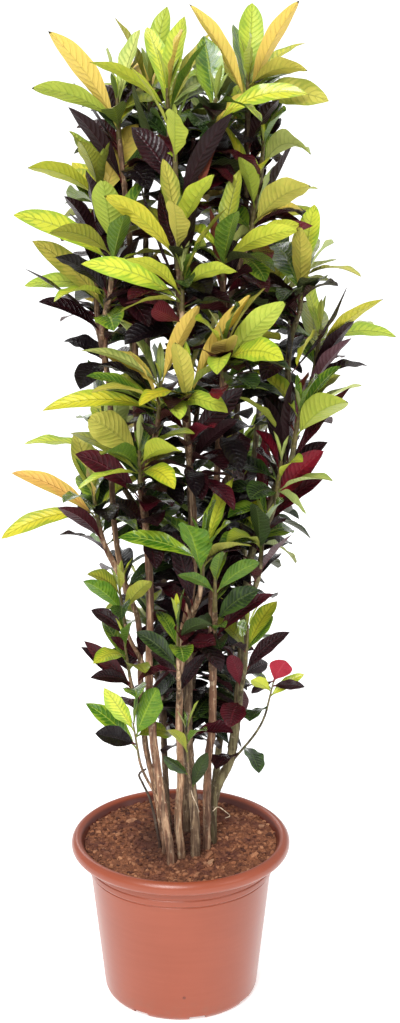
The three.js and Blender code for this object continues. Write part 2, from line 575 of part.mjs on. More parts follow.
for (const cane of CANES) {
  const path = canePath(cane);
  const last = path.points.length - 1;
  const taper = (u) => THREE.MathUtils.lerp(cane.thick, SHOOT.thick, Math.max(0, u - 1 / last));
  const parts = [rod(path.points, taper, BARK_SIDES, 0, path.shoot.lean)];
  const stretch = [footPoint(cane.foot, SOCKET.depth), footPoint(cane.foot, -12)];
  soil = soil.subtract(rod(stretch, () => cane.thick, BARK_SIDES, SOCKET.gap));
  cane.heads.forEach((name, i) => {
    const slim = HEADS[name].slim ?? 1;
    const { shoot, curve, points } = i === 0 ? { ...path, curve: path.climb } : forkPath(path, HEADS[name]);
    const thin = (u) => slim * THREE.MathUtils.lerp(FORK.thick, SHOOT.thick, u);
    if (i > 0) parts.push(rod(points, thin, FORK.sides, 0, shoot.lean));
    const narrowing = (u) => slim * THREE.MathUtils.lerp(SHOOT.thick, SHOOT.thin, u);
    const core = rod([shoot.start, shoot.end], narrowing, SHOOT.sides);
    shoots.set(name, [core]);
    record('shoot_' + name, core, core);
    carriers.push({ name, cane: cane.name, slim, shoot, curve });
  });
  const bark = fuse(parts);
  wood.set(cane.name, [bark]);
  record(cane.name, bark, bark);
}

const twigPoints = [footPoint(TWIG.foot, SOCKET.depth), ...new THREE.CatmullRomCurve3(
  [footPoint(TWIG.foot, -12), ...TWIG.via.map((place) => spot(...place))]).getPoints(8)];
const twig = rod(twigPoints, (u) => THREE.MathUtils.lerp(TWIG.thick, TWIG.thin, u), BARK_SIDES);
const twigSocket = [footPoint(TWIG.foot, SOCKET.depth), footPoint(TWIG.foot, -12)];
soil = soil.subtract(rod(twigSocket, () => TWIG.thick, BARK_SIDES, SOCKET.gap));
record('dead_twig', twig, twig);
record('pot', pot, pot);
record('soil', soil, soil);

function rootAt(carrier, kind, share) {
  const [low, high] = kind.roots;
  const step = THREE.MathUtils.lerp(low, high, share);
  if (kind === YOUNG) {
    const radius = carrier.slim * THREE.MathUtils.lerp(SHOOT.thick, SHOOT.thin, step / (SHOOT.below + SHOOT.above));
    const axis = carrier.shoot.start.clone().addScaledVector(carrier.shoot.lean, step);
    return { axis, along: carrier.shoot.lean, radius };
  }
  const back = 1 - Math.min(0.9, step / carrier.curve.getLength());
  const axis = carrier.curve.getPointAt(back);
  return { axis, along: carrier.curve.getTangentAt(back), radius: carrier.slim * SHOOT.thick };
}

// A leaf's root lies just inside the skin of its carrier, on the side that the leaf grows to.

function sunk(leaf, seat) {
  const out = leaf.tip.clone().sub(seat.axis);
  out.addScaledVector(seat.along, -out.dot(seat.along)).normalize();
  const depth = Math.max(0, seat.radius - BLADE.sunk);
  return { ...leaf, root: seat.axis.clone().addScaledVector(out, depth) };
}

// What grows at a carrier: the young leaves of its shoot and the old ones of its cane.

function bunchesOf(carrier) {
  const head = HEADS[carrier.name];
  return [
    { kind: YOUNG, marks: head.young, node: 'shoot_' + carrier.name, solids: shoots.get(carrier.name), seed: 1 },
    { kind: OLD, marks: head.old, node: carrier.cane, solids: wood.get(carrier.cane), seed: 2 },
  ];
}

function shareOf(carrier) {
  return carrier.shoot.centre.z < LOW.below ? LOW.share : 1;
}

carriers.forEach((carrier, index) => bunchesOf(carrier).forEach(({ kind, marks, node, solids, seed }) => {
  marks.forEach((mark, rank) => {
    const random = randomFrom(1000 * index + 10 * rank + seed);
    const leaf = place(node, (attempt) => {
      const along = ((rank + 0.5) / marks.length + Math.floor(attempt / 4) * 0.382) % 1;
      return notedLeaf(rootAt(carrier, kind, along), mark, kind, shareOf(carrier), attempt, random);
    });
    if (leaf) solids.push(leaf);
  });
}));
carriers.forEach((carrier, index) => bunchesOf(carrier).forEach(({ kind, marks, node, solids, seed }) => {
  if (carrier.slim < 1) return;
  const seen = marks.length > 0;
  const count = seen ? Math.max(kind === YOUNG ? 1 : 0, kind.count - marks.length) : kind.count;
  const random = randomFrom(5000 + 1000 * index + seed);
  const start = 2 * Math.PI * random();
  for (let rank = 0; rank < count; rank++) {
    const seat = rootAt(carrier, kind, 1 - (rank + 0.25) / count);
    const leaf = place(node, (attempt) => (
      ruleLeaf(seat, rank, count, kind, shareOf(carrier), start, seen, attempt, random)));
    if (leaf) solids.push(leaf);
  }
}));

// Colours and finishes.

const FINISH = {
  pot: new THREE.MeshStandardMaterial({ color: 0xc87359, roughness: 0.45 }),
  soil: new THREE.MeshStandardMaterial({ color: 0x6b3f2b, roughness: 0.95 }),
  bark: new THREE.MeshStandardMaterial({ color: 0x54402f, roughness: 0.85 }),
  lime: new THREE.MeshStandardMaterial({ color: 0xb9c545, roughness: 0.4 }),
};

const plant = new THREE.Group();

function addPiece(name, solid, material) {
  const mesh = new THREE.Mesh(geometryOf(solid), material);
  mesh.name = name;
  plant.add(mesh);
}

addPiece('pot', pot, FINISH.pot);
addPiece('soil', soil, FINISH.soil);
addPiece('dead_twig', twig, FINISH.bark);
for (const [name, solids] of wood) addPiece(name, fuse(solids), FINISH.bark);
for (const [name, solids] of shoots) addPiece('shoot_' + name, fuse(solids), FINISH.lime);

export default plant;
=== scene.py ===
# Potted croton: a branched, woody croton bush in a round plastic growing pot.
#
# Metres, +Z up, the origin under the middle of the pot, and +Y away from the viewer, as in the CAD.

import math
import random

import bmesh
import bpy
import numpy as np
from mathutils import Matrix, Vector
from mathutils.bvhtree import BVHTree


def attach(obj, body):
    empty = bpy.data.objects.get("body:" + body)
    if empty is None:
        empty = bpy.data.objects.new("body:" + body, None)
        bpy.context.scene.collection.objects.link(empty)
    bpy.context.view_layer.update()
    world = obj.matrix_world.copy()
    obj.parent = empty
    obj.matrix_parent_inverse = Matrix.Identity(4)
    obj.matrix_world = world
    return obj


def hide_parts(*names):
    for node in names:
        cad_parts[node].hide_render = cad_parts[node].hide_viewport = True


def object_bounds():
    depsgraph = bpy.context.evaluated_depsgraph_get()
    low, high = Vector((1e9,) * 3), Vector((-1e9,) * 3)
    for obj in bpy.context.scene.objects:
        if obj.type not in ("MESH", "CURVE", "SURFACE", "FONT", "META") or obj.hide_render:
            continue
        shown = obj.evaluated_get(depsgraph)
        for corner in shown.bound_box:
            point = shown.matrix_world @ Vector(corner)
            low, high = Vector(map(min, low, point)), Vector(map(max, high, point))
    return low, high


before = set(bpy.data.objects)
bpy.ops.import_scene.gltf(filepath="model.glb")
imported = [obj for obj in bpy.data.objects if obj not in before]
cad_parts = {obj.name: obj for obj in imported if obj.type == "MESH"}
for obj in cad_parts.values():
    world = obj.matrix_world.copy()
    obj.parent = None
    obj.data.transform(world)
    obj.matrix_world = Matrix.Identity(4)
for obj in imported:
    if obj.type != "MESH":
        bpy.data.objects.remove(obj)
cad_box = [list(corner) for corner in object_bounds()]

# ---------------------------------------------------------------------------------------------
# The pot. One injection-moulded plastic shell in terracotta red, with a rolled rim, a stepped neck
# below it, and a raised floor with drain holes. It stands on a ring with water notches across it.

MM = 0.001

# The wall from the middle of the underside, round the rim and down inside: radius, height and the
# size of the rounding at each corner, in millimetres.
POT_WALL = [
    (0, 0, 0), (22, 0, 1), (24, 9, 2), (111.5, 9, 2), (112, 0, 1), (116, 0, 2), (123, 7, 7),
    (144, 206, 2), (144.6, 211.5, 0.6), (143.7, 212.3, 0.3), (143.9, 213.6, 0.5), (148.6, 217, 1.6),
    (149.3, 225.6, 0.9), (147.9, 227.2, 0.9), (149.6, 229.6, 1.2), (151, 246, 3), (168, 246, 4),
    (174.8, 252.5, 5), (174, 263, 7), (166, 269.8, 7), (158.5, 266, 6), (148.4, 246, 4),
    (146, 234, 5), (120.4, 13, 3), (0, 13, 0),
]
POT_SIDES = 160
DRAIN_HOLES = dict(count=6, radius=7, ring=84, middle=9, depth=20)
WATER_NOTCHES = dict(count=8, depth=30, width=27, height=16, ring=123, turn=0.23)
# Where the gate mark is, the foot and the flare of the wall that it lies on, and how far it faces down.
GATE_MARK = dict(x=6, z=46, foot=(123, 7), flare=22 / 205, dip=14)


def paint(red, green, blue):
    """A colour as it is named on a screen, 0 to 255, as light."""
    parts = [value / 255 for value in (red, green, blue)]
    return [p / 12.92 if p <= 0.04045 else ((p + 0.055) / 1.055) ** 2.4 for p in parts] + [1.0]


class Wire:
    """A socket of a node tree. Arithmetic on wires adds Math nodes to the tree."""

    def __init__(self, tree, socket):
        self.tree, self.socket = tree, socket

    @classmethod
    def node(cls, tree, kind, sockets=None, out=0, **settings):
        """A new node with the values or links of its sockets and its settings, as one output."""
        made = tree.nodes.new(kind)
        for name, value in settings.items():
            setattr(made, name, value)
        for key, value in (sockets or {}).items():
            if isinstance(value, Wire):
                tree.links.new(value.socket, made.inputs[key])
            else:
                made.inputs[key].default_value = value
        return cls(tree, made.outputs[out])

    def math(self, operation, *others):
        return self.node(self.tree, "ShaderNodeMath", dict(enumerate((self, *others))), operation=operation)

    def vector(self, operation, other=None):
        sockets = {0: self} if other is None else {0: self, "Scale" if operation == "SCALE" else 1: other}
        out = 1 if operation in ("DOT_PRODUCT", "LENGTH") else 0
        return self.node(self.tree, "ShaderNodeVectorMath", sockets, out, operation=operation)

    def __add__(self, other):
        return self.math("ADD", other)

    def __sub__(self, other):
        return self.math("SUBTRACT", other)

    def __rsub__(self, other):
        return self.node(self.tree, "ShaderNodeMath", {0: other, 1: self}, operation="SUBTRACT")

    def __mul__(self, other):
        return self.math("MULTIPLY", other)

    def __truediv__(self, other):
        return self.math("DIVIDE", other)

    def __pow__(self, other):
        return self.math("POWER", other)

    __radd__, __rmul__ = __add__, __mul__

    def clamp(self):
        return self.node(self.tree, "ShaderNodeClamp", {"Value": self})

    def size(self):
        return self.math("ABSOLUTE")

    def ping(self, span):
        return self.math("PINGPONG", span)

    def axis(self, k):
        """One of a vector's three numbers."""
        return self.node(self.tree, "ShaderNodeSeparateXYZ", {0: self}, k)

    def ramp(self, low, high):
        """0 below low, 1 above high, and smooth between."""
        return self.node(self.tree, "ShaderNodeMapRange", {"Value": self, "From Min": low, "From Max": high},
                         interpolation_type="SMOOTHSTEP")

    def mix(self, first, second, blend="MIX"):
        """The first colour where this wire is 0, the second where it is 1."""
        return self.node(self.tree, "ShaderNodeMix", {0: self, 6: first, 7: second}, 2,
                         data_type="RGBA", blend_type=blend)

    def bands(self, stops):
        """The colours of the stops, each reached at its own value of this wire."""
        banded = self.node(self.tree, "ShaderNodeValToRGB", {0: self})
        ramp = banded.socket.node.color_ramp.elements
        for place, _ in stops[1:-1]:
            ramp.new(place)
        for stop, (place, colour) in zip(ramp, stops):
            stop.position, stop.color = place, colour
        return banded


def new_finish(name, **fixed):
    """A material, its Principled shader and the piece's own coordinates."""
    material = bpy.data.materials.new(name)
    material.use_nodes = True
    tree = material.node_tree
    shader = tree.nodes["Principled BSDF"]
    for socket, value in fixed.items():
        shader.inputs[socket.replace("_", " ")].default_value = value
    return material, tree, shader, Wire.node(tree, "ShaderNodeTexCoord", out=3)


def noise(tree, where, scale, detail=3.0, rough=0.55, out=0):
    return Wire.node(tree, "ShaderNodeTexNoise",
                     {"Vector": where, "Scale": scale, "Detail": detail, "Roughness": rough}, out)


def read(tree, name, out=2):
    """A value that the mesh holds under a name, or a colour with out as 0."""
    return Wire.node(tree, "ShaderNodeAttribute", out=out, attribute_name=name)


def set_looks(tree, shader, colour=None, rough=None, height=None, depth=0.001):
    """Feeds the shader's changing sockets; the height goes through a Bump node."""
    if colour:
        tree.links.new(colour.socket, shader.inputs["Base Color"])
    if rough:
        tree.links.new(rough.socket, shader.inputs["Roughness"])
    if height:
        bump = Wire.node(tree, "ShaderNodeBump", {"Height": height, "Distance": depth})
        tree.links.new(bump.socket, shader.inputs["Normal"])


def rounded(corners, cuts=5):
    """A line through corners, each given as across, up and the size of its rounding."""
    line = []
    for i, (r, z, soft) in enumerate(corners):
        here = Vector((r, z))
        if not soft:
            line.append(here)
            continue
        before = Vector(corners[i - 1][:2]) - here
        after = Vector(corners[i + 1][:2]) - here
        start = here + before.normalized() * min(soft, before.length * 0.48)
        end = here + after.normalized() * min(soft, after.length * 0.48)
        for k in range(cuts + 1):
            t = k / cuts
            line.append(start * (1 - t) ** 2 + here * 2 * t * (1 - t) + end * t * t)
    return line


def turned(name, line, sides):
    """A closed body of revolution. The line, in millimetres, starts and ends on the axis."""
    vertices = [(0, 0, line[0].y * MM)]
    rings = line[1:-1]
    for point in rings:
        for k in range(sides):
            turn = 2 * math.pi * k / sides
            vertices.append((point.x * MM * math.cos(turn), point.x * MM * math.sin(turn), point.y * MM))
    vertices.append((0, 0, line[-1].y * MM))
    faces = []
    last = len(vertices) - 1
    for k in range(sides):
        after = (k + 1) % sides
        faces.append((0, 1 + after, 1 + k))
        for ring in range(len(rings) - 1):
            low, high = 1 + ring * sides, 1 + (ring + 1) * sides
            faces.append((low + k, low + after, high + after, high + k))
        top = 1 + (len(rings) - 1) * sides
        faces.append((top + k, top + after, last))
    mesh = bpy.data.meshes.new(name)
    mesh.from_pydata(vertices, [], faces)
    mesh.validate()
    return mesh


def shown(name, mesh, *finishes):
    """A piece in the scene, at the origin, with its place in its mesh."""
    for finish in finishes:
        mesh.materials.append(finish)
    piece = bpy.data.objects.new(name, mesh)
    bpy.context.collection.objects.link(piece)
    return piece


def baked(piece, sharp=None):
    """Turns a piece's modifiers into a plain mesh. Edges steeper than sharp stay hard."""
    graph = bpy.context.evaluated_depsgraph_get()
    mesh = bpy.data.meshes.new_from_object(piece.evaluated_get(graph), preserve_all_data_layers=True,
                                           depsgraph=graph)
    piece.modifiers.clear()
    piece.data = mesh
    if sharp:
        mesh.polygons.foreach_set("use_smooth", [True] * len(mesh.polygons))
        mesh.set_sharp_from_angle(angle=math.radians(sharp))
    return piece


def settled(piece, slot, *nodes):
    """Tells the frame what the piece rides on and what it replaces. The slot is not used."""
    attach(piece, "root")
    if nodes:
        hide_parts(*nodes)


def plastic_finish():
    material, tree, shader, where = new_finish("terracotta_plastic", IOR=1.46, Specular_IOR_Level=0.46,
                                               Coat_Weight=0.22, Coat_Roughness=0.16)
    height = where.axis(2)
    cloudy = noise(tree, where, 9.0)
    fine = noise(tree, where, 420.0, 2.0)
    flow = noise(tree, where.vector("MULTIPLY", (3, 3, 40)), 3.0)
    body = (cloudy * 0.6 + flow * 0.4).ramp(0.3, 0.7).mix(paint(143, 69, 45), paint(150, 74, 50))
    dusty = ((1 - height.ramp(0.004, 0.05)) * noise(tree, where, 60.0, 5.0).ramp(0.42, 0.7) * 0.45)
    body = dusty.mix(body, paint(132, 82, 62))
    radius = where.vector("MULTIPLY", (1, 1, 0)).vector("LENGTH")
    # Painted shade: the inside of the rim, down to the soil, is painted a darker red for the shade that falls
    # inside the pot.
    inner_wall_shade = (1 - radius.ramp(0.1565, 0.1605)) * height.ramp(0.2455, 0.2475)
    body = inner_wall_shade.mix(body, paint(88, 34, 22))
    scuff = noise(tree, where.vector("MULTIPLY", (30, 30, 300)), 1.0, 4.0).ramp(0.6, 0.78)
    body = (scuff * 0.05).mix(body, paint(190, 126, 100))
    set_looks(tree, shader, body, 0.285 + cloudy * 0.08, fine * 0.4 + cloudy * 0.6, 0.0002)
    return material


def cutters():
    """The drain holes and the water notches, as one mesh of separate closed blocks."""
    blocks = bmesh.new()
    for i in range(DRAIN_HOLES["count"]):
        turn = 2 * math.pi * (i + 0.5) / DRAIN_HOLES["count"]
        ring = DRAIN_HOLES["ring"] * MM
        place = Matrix.Translation((ring * math.cos(turn), ring * math.sin(turn), DRAIN_HOLES["middle"] * MM))
        bmesh.ops.create_cone(blocks, cap_ends=True, segments=28, radius1=DRAIN_HOLES["radius"] * MM,
                              radius2=DRAIN_HOLES["radius"] * MM, depth=DRAIN_HOLES["depth"] * MM,
                              matrix=place)
    for i in range(WATER_NOTCHES["count"]):
        turn = WATER_NOTCHES["turn"] - math.pi / 2 + 2 * math.pi * i / WATER_NOTCHES["count"]
        size = Vector([WATER_NOTCHES[k] * MM for k in ("depth", "width", "height")])
        place = Matrix.Rotation(turn, 4, "Z") @ Matrix.Translation((WATER_NOTCHES["ring"] * MM, 0, 0))
        bmesh.ops.create_cube(blocks, size=1, matrix=place @ Matrix.Diagonal((*size, 1)))
    mesh = bpy.data.meshes.new("cutters")
    blocks.to_mesh(mesh)
    return bpy.data.objects.new("cutters", mesh)


terracotta = plastic_finish()
pot = shown("growing_pot", turned("growing_pot", rounded(POT_WALL), POT_SIDES), terracotta)
cutter = cutters()
bpy.context.collection.objects.link(cutter)
cut = pot.modifiers.new("cut", "BOOLEAN")
cut.operation, cut.solver, cut.object = "DIFFERENCE", "EXACT", cutter
baked(pot, sharp=32)
bpy.data.objects.remove(cutter)
settled(pot, "pot_plastic", "pot")

# The small round mark where the plastic was fed into the mould, low on the front of the wall.
gate = turned("gate_mark", [Vector(p) for p in [(0, -1), (2.6, -1), (2.6, 0.2), (1.9, 0.5), (0, 0.5)]], 24)
foot_reach, foot_height = GATE_MARK["foot"]
wall_reach = foot_reach + (GATE_MARK["z"] - foot_height) * GATE_MARK["flare"]
gate_out = math.sqrt(wall_reach ** 2 - GATE_MARK["x"] ** 2)
facing = Vector((GATE_MARK["x"], -gate_out, -GATE_MARK["dip"])).normalized()
gate.transform(Matrix.Translation((GATE_MARK["x"] * MM, -gate_out * MM, GATE_MARK["z"] * MM))
               @ facing.to_track_quat("Z", "Y").to_matrix().to_4x4())
gate_scar, gate_nodes, gate_shader, gate_at = new_finish("gate_scar")
scar_colour = noise(gate_nodes, gate_at, 900.0).mix(paint(96, 48, 36), paint(130, 68, 52))
set_looks(gate_nodes, gate_shader, scar_colour, 0.5 + noise(gate_nodes, gate_at, 700.0) * 0.2)
gate_mark = baked(shown("gate_mark", gate, gate_scar), sharp=40)
settled(gate_mark, "pot_plastic")

# ---------------------------------------------------------------------------------------------
# The soil. A mass of red-brown coco and bark, packed to just under the rim and a little higher
# round the canes, with coarse crumbs and a few pale chips of bark lying on it.

SOIL_LINE = [(0, 13.4, 0), (119.4, 13.4, 2), (145.5, 234, 4), (147.6, 246, 2), (153, 256, 0)]
# The soil's level at the rim, how much higher it is inside, the share of its reach that is level there,
# and its reach, in millimetres; then its rings and sides.
SOIL_RIM, SOIL_RISE, SOIL_FLAT, SOIL_REACH, SOIL_RINGS, SOIL_SIDES = 256, 2, 0.55, 152.6, 60, 190
CRUMBS = {"Crumb size": 0.0056, "Crumb density": 17000.0, "Chip size": 0.0115, "Chip density": 230.0,
          "Bumps": 0.0072, "Seed": 11}
# A full turn, for random directions and for waves.
ROUND = 6.283
# What lies on the soil: its length, breadth and height, how far it stands up, and its range of colour.
LOOSE = {"Crumb": ((1.5, 1.0, 0.75), 0.15, (0.05, 0.9)), "Chip": ((1.7, 1.0, 0.42), 0.3, (0.62, 1.0))}


def new_tree(name, sizes):
    """An empty Geometry Nodes tree with its sizes as named inputs, and those inputs as wires."""
    tree = bpy.data.node_groups.new(name, "GeometryNodeTree")
    tree.interface.new_socket("Geometry", in_out="INPUT", socket_type="NodeSocketGeometry")
    for label, value in sizes.items():
        kind = "NodeSocketInt" if isinstance(value, int) else "NodeSocketFloat"
        tree.interface.new_socket(label, in_out="INPUT", socket_type=kind).default_value = value
    tree.interface.new_socket("Geometry", in_out="OUTPUT", socket_type="NodeSocketGeometry")
    given = tree.nodes.new("NodeGroupInput")
    return tree, {socket.name: Wire(tree, socket) for socket in given.outputs if socket.name}


def end_tree(tree, shape):
    """Closes a tree on its finished shape."""
    real = Wire.node(tree, "GeometryNodeRealizeInstances", {0: shape})
    out = tree.nodes.new("NodeGroupOutput")
    tree.links.new(real.socket, out.inputs[0])


def grown(name, source, tree, sizes, sharp=None):
    """Runs a tree on a mesh and keeps the result as a plain piece."""
    piece = shown(name, source)
    modifier = piece.modifiers.new("grow", "NODES")
    modifier.node_group = tree
    for item in tree.interface.items_tree:
        if item.in_out == "INPUT" and item.name in sizes:
            modifier[item.identifier] = sizes[item.name]
    return baked(piece, sharp)


def painted(tree, shape, material):
    return Wire.node(tree, "GeometryNodeSetMaterial", {"Geometry": shape, "Material": material})


def moved(tree, shape, **how):
    """A shape with its points at a Position, or moved by an Offset."""
    return Wire.node(tree, "GeometryNodeSetPosition", {"Geometry": shape, **how})


def joined(tree, shapes):
    whole = tree.nodes.new("GeometryNodeJoinGeometry")
    for shape in shapes:
        tree.links.new(shape.socket, whole.inputs[0])
    return Wire(tree, whole.outputs[0])


def stored(tree, shape, name, value, kind="FLOAT", domain="POINT"):
    return Wire.node(tree, "GeometryNodeStoreNamedAttribute",
                     {"Geometry": shape, "Name": name, "Value": value}, data_type=kind, domain=domain)


def noted(tree, name, kind="FLOAT"):
    return Wire.node(tree, "GeometryNodeInputNamedAttribute", {"Name": name}, data_type=kind)


def drawn(tree, low, high, seed, kind="FLOAT"):
    """A seeded random value. The sockets of the node differ with its kind."""
    first, out = {"FLOAT_VECTOR": (0, 0), "FLOAT": (2, 1)}[kind]
    return Wire.node(tree, "FunctionNodeRandomValue", {first: low, first + 1: high, "Seed": seed}, out,
                     data_type=kind)


def damp_and_painted_shade(tree, where, colour):
    """Damp purple-brown patches, and painted shade on the ground between and behind the canes."""
    damp = noise(tree, where, 24.0, 3.0, 0.6)
    colour = (damp.ramp(0.46, 0.66) * 0.65).mix(colour, paint(86, 48, 42))
    # Painted shade: the ground round the foot of the canes is painted darker.
    apart = where.vector("SUBTRACT", (-0.012, 0.0, 0.0)).vector("MULTIPLY", (1, 0.62, 0))
    painted_cane_shade = 1 - (apart.vector("LENGTH") + (damp - 0.5) * 0.05).ramp(0.03, 0.085)
    return (painted_cane_shade * 0.72).mix(colour, paint(50, 29, 26))


def soil_finish():
    material, tree, shader, where = new_finish("coco_soil", Specular_IOR_Level=0.2)
    clods = noise(tree, where, 110.0, 6.0, 0.65)
    grains = noise(tree, where, 420.0, 4.0, 0.7)
    # The coco and bark range from dark to pale, and are darkest where the same noise sets the bumps lowest:
    # painted shade in the hollows.
    colour = (clods * 0.5 + grains * 0.5).bands([
        (0.34, paint(44, 24, 22)), (0.44, paint(102, 62, 45)), (0.58, paint(152, 98, 68)),
        (0.74, paint(192, 138, 102))])
    colour = damp_and_painted_shade(tree, where, colour)
    set_looks(tree, shader, colour, 0.86 + grains * 0.14, clods * 0.6 + grains * 0.4, 0.003)
    return material


def crumb_finish():
    material, tree, shader, where = new_finish("bark_crumbs", Specular_IOR_Level=0.25)
    grain = noise(tree, where.vector("MULTIPLY", (1, 1, 2)), 500.0, 4.0, 0.7)
    colour = read(tree, "own").bands([
        (0.0, paint(52, 28, 25)), (0.22, paint(104, 64, 47)), (0.6, paint(154, 99, 68)),
        (0.88, paint(188, 133, 97)), (1.0, paint(230, 180, 138))])
    colour = (grain.ramp(0.35, 0.75) * 0.45).mix(colour, paint(80, 44, 34))
    colour = damp_and_painted_shade(tree, where, colour)
    set_looks(tree, shader, colour, 0.74 + grain * 0.2, grain, 0.0006)
    return material


def soil_tree(soil, crumb):
    tree, given = new_tree("soil_crumbs", CRUMBS)
    normal = Wire.node(tree, "GeometryNodeInputNormal")
    spot_at = Wire.node(tree, "GeometryNodeInputPosition")
    upward = normal.axis(2).ramp(0.55, 0.85)
    lumps = noise(tree, spot_at, 46.0, 5.0, 0.6) - 0.5
    lift = Wire.node(tree, "ShaderNodeCombineXYZ", {2: lumps * given["Bumps"] * 2 * upward})
    ground = moved(tree, given["Geometry"], Offset=lift)
    shapes = [painted(tree, ground, soil)]
    for part, (label, (stretch, rise, own)) in enumerate(LOOSE.items()):
        seed = given["Seed"] + part * 7
        points = Wire.node(tree, "GeometryNodeDistributePointsOnFaces", {
            "Mesh": ground, "Selection": upward.math("GREATER_THAN", 0.5),
            "Density": given[label + " density"], "Seed": seed})
        block = Wire.node(tree, "GeometryNodeMeshIcoSphere", {"Radius": 0.5, "Subdivisions": 1})
        tilt = drawn(tree, (-0.5, -0.5, 0.0), (0.5, 0.5, ROUND), seed + 1, "FLOAT_VECTOR")
        size = drawn(tree, 0.3, 1.4, seed + 2) * given[label + " size"]
        sizes = Wire.node(tree, "ShaderNodeVectorMath", {0: stretch, "Scale": size}, operation="SCALE")
        bits = Wire.node(tree, "GeometryNodeInstanceOnPoints", {
            "Points": points, "Instance": block, "Rotation": tilt, "Scale": sizes})
        bits = stored(tree, bits, "own", drawn(tree, own[0], own[1], seed + 3), domain="INSTANCE")
        bits = Wire.node(tree, "GeometryNodeRealizeInstances", {0: bits})
        ragged = noise(tree, spot_at, 260.0, 2.0, 0.5, 1).vector("SUBTRACT", (0.5, 0.5, 0.5 - rise))
        bits = moved(tree, bits, Offset=ragged.vector("SCALE", given[label + " size"] * 0.75))
        shapes.append(painted(tree, bits, crumb))
    end_tree(tree, joined(tree, shapes))
    return tree


def soil_line():
    top = []
    for ring in range(1, SOIL_RINGS):
        share = 1 - ring / SOIL_RINGS
        level = SOIL_RIM + SOIL_RISE * min(1, (1 - share) / (1 - SOIL_FLAT))
        top.append(Vector((share * SOIL_REACH, level)))
    return rounded(SOIL_LINE) + top + [Vector((0, SOIL_RIM + SOIL_RISE))]


soil_body = turned("soil_body", soil_line(), SOIL_SIDES)
soil = grown("potting_soil", soil_body, soil_tree(soil_finish(), crumb_finish()), CRUMBS)
settled(soil, "potting_soil", "soil")

# ---------------------------------------------------------------------------------------------
# The canes. Nine woody stems stand in the soil and fork as they climb, each fork to one leafy head.
# The bark is tan to grey-brown, ringed by old leaf scars, greener where it is young.

# Canes and heads are noted by where they are seen from one viewpoint in front of the plant: pixels
# across and down in a view of 400 by 1023, and millimetres behind the pot's axis.
VIEW = dict(across=0.031, back=2.95, height=1.739, pitch=math.radians(17.5), focal=2034,
            centre=(200, 511.5), tall=1023)
EYE = Vector((VIEW["across"], -VIEW["back"], VIEW["height"]))
# In millimetres: the height of the soil's top, how deep a stem goes below it, and how far above it the
# stem's curve takes over.
SOIL_TOP, SOCKET_DEPTH, CURVE_START = 258, 66, 12
# A shoot reaches this far below and above the middle of its head, and leans this much toward the sky.
SHOOT = dict(below=30, above=28, thick=4.0, upright=1.2)
# A fork leaves its cane at least this far below its shoot, and further the more it has to go aside.
FORK = dict(rise=62, slope=0.9, thick=5.0, collar=1.2, pull=0.35, lowest=0.02)
CANE_STEPS, FORK_STEPS, FORK_CUTS, FORK_PLACES = 60, 16, 40, 200
TUBE = {"Step": 0.003, "Sides": 14, "Scar pitch": 0.0165, "Swell": 0.13, "Ripple": 0.0012, "Seed": 3}
# The low sprigs have a fork and a shoot that are this share as thick as the others.
SLIM = {"low_left": 0.7, "lower_left": 0.65, "mid_low": 0.75, "low_right": 0.75, "base_left": 0.5,
        "base_mid": 0.5, "pink": 0.42}

# name: foot (across, behind), radius at the foot, bark, the places on the way up, and the heads
CANES = {
    "left": ((-24, -50), 4.6, "tan", [
        (156, 793, -42), (146, 748, -32), (141, 690, -20), (138, 620, -20), (126, 587, -25), (117, 547, -30),
        (111, 470, -30), (109, 385, -25), (98, 324, -20), (96, 260, -14)],
        ["left_upper", "left_mid", "left_mid_upper", "far_left"]),
    "left_front": ((-14, -82), 6.6, "tan", [
        (164, 811, -76), (154, 744, -68), (149, 680, -62), (150, 600, -56), (147, 540, -54), (140, 470, -46),
        (136, 400, -38), (134, 300, -28), (126, 200, -12)],
        ["crown_left", "left_low_mid", "centre_left", "lower_left", "base_left", "low_left"]),
    "left_rear": ((-20, 22), 5, "grey", [
        (166, 787, 34), (163, 700, 56), (165, 600, 80), (155, 480, 95), (148, 350, 95), (146, 220, 85)],
        ["rear_crown_left", "rear_left_upper", "rear_left_mid", "rear_left_low", "rear_low_left"]),
    "centre": ((2, -62), 6, "pale", [
        (178, 823, -60), (181, 775, -57), (179, 732, -56), (180, 690, -56), (184, 627, -60), (192, 590, -66),
        (194, 530, -74), (188, 450, -80), (182, 380, -84), (180, 300, -86), (178, 220, -95)],
        ["front_top", "centre_upper", "centre", "centre_mid", "centre_low", "mid_low"]),
    "middle": ((24, -58), 7.4, "grey", [
        (195, 821, -52), (191, 775, -42), (188, 720, -26), (190, 640, -8), (192, 540, 0), (188, 430, 5),
        (180, 320, 0), (175, 209, -10), (173, 160, -15)],
        ["crown_centre", "crown_mid", "base_mid", "rear_centre_mid", "rear_centre_low"]),
    "right_front": ((42, -32), 6.4, "tan", [
        (207, 799, -28), (208, 763, -24), (212, 726, -22), (213, 690, -20), (212, 635, -28), (212, 600, -36),
        (215, 520, -48), (219, 440, -58), (225, 350, -66), (234, 280, -66)],
        ["right_upper", "right_mid_upper", "centre_right", "low_centre"]),
    "right": ((50, -6), 8, "mossy", [
        (212, 811, -2), (217, 787, 2), (229, 763, 4), (235, 732, 2), (240, 680, -4), (243, 640, -10),
        (250, 560, -16), (261, 525, -20), (280, 473, -28), (292, 421, -34), (288, 382, -34), (290, 343, -32)],
        ["right", "right_mid", "right_fork", "right_low_mid", "right_low", "low_right", "pink"]),
    "right_top": ((10, 28), 6, "grey", [
        (185, 780, 40), (190, 700, 50), (205, 600, 50), (225, 500, 45), (238, 400, 35), (243, 300, 25),
        (246, 200, 8)],
        ["crown_right", "right_top", "rear_crown_right", "rear_right_upper"]),
    "right_rear": ((42, 34), 5.6, "mossy", [
        (214, 790, 44), (222, 720, 62), (235, 620, 85), (248, 520, 100), (258, 420, 115)],
        ["rear_right", "rear_right_mid", "rear_low_right"]),
}

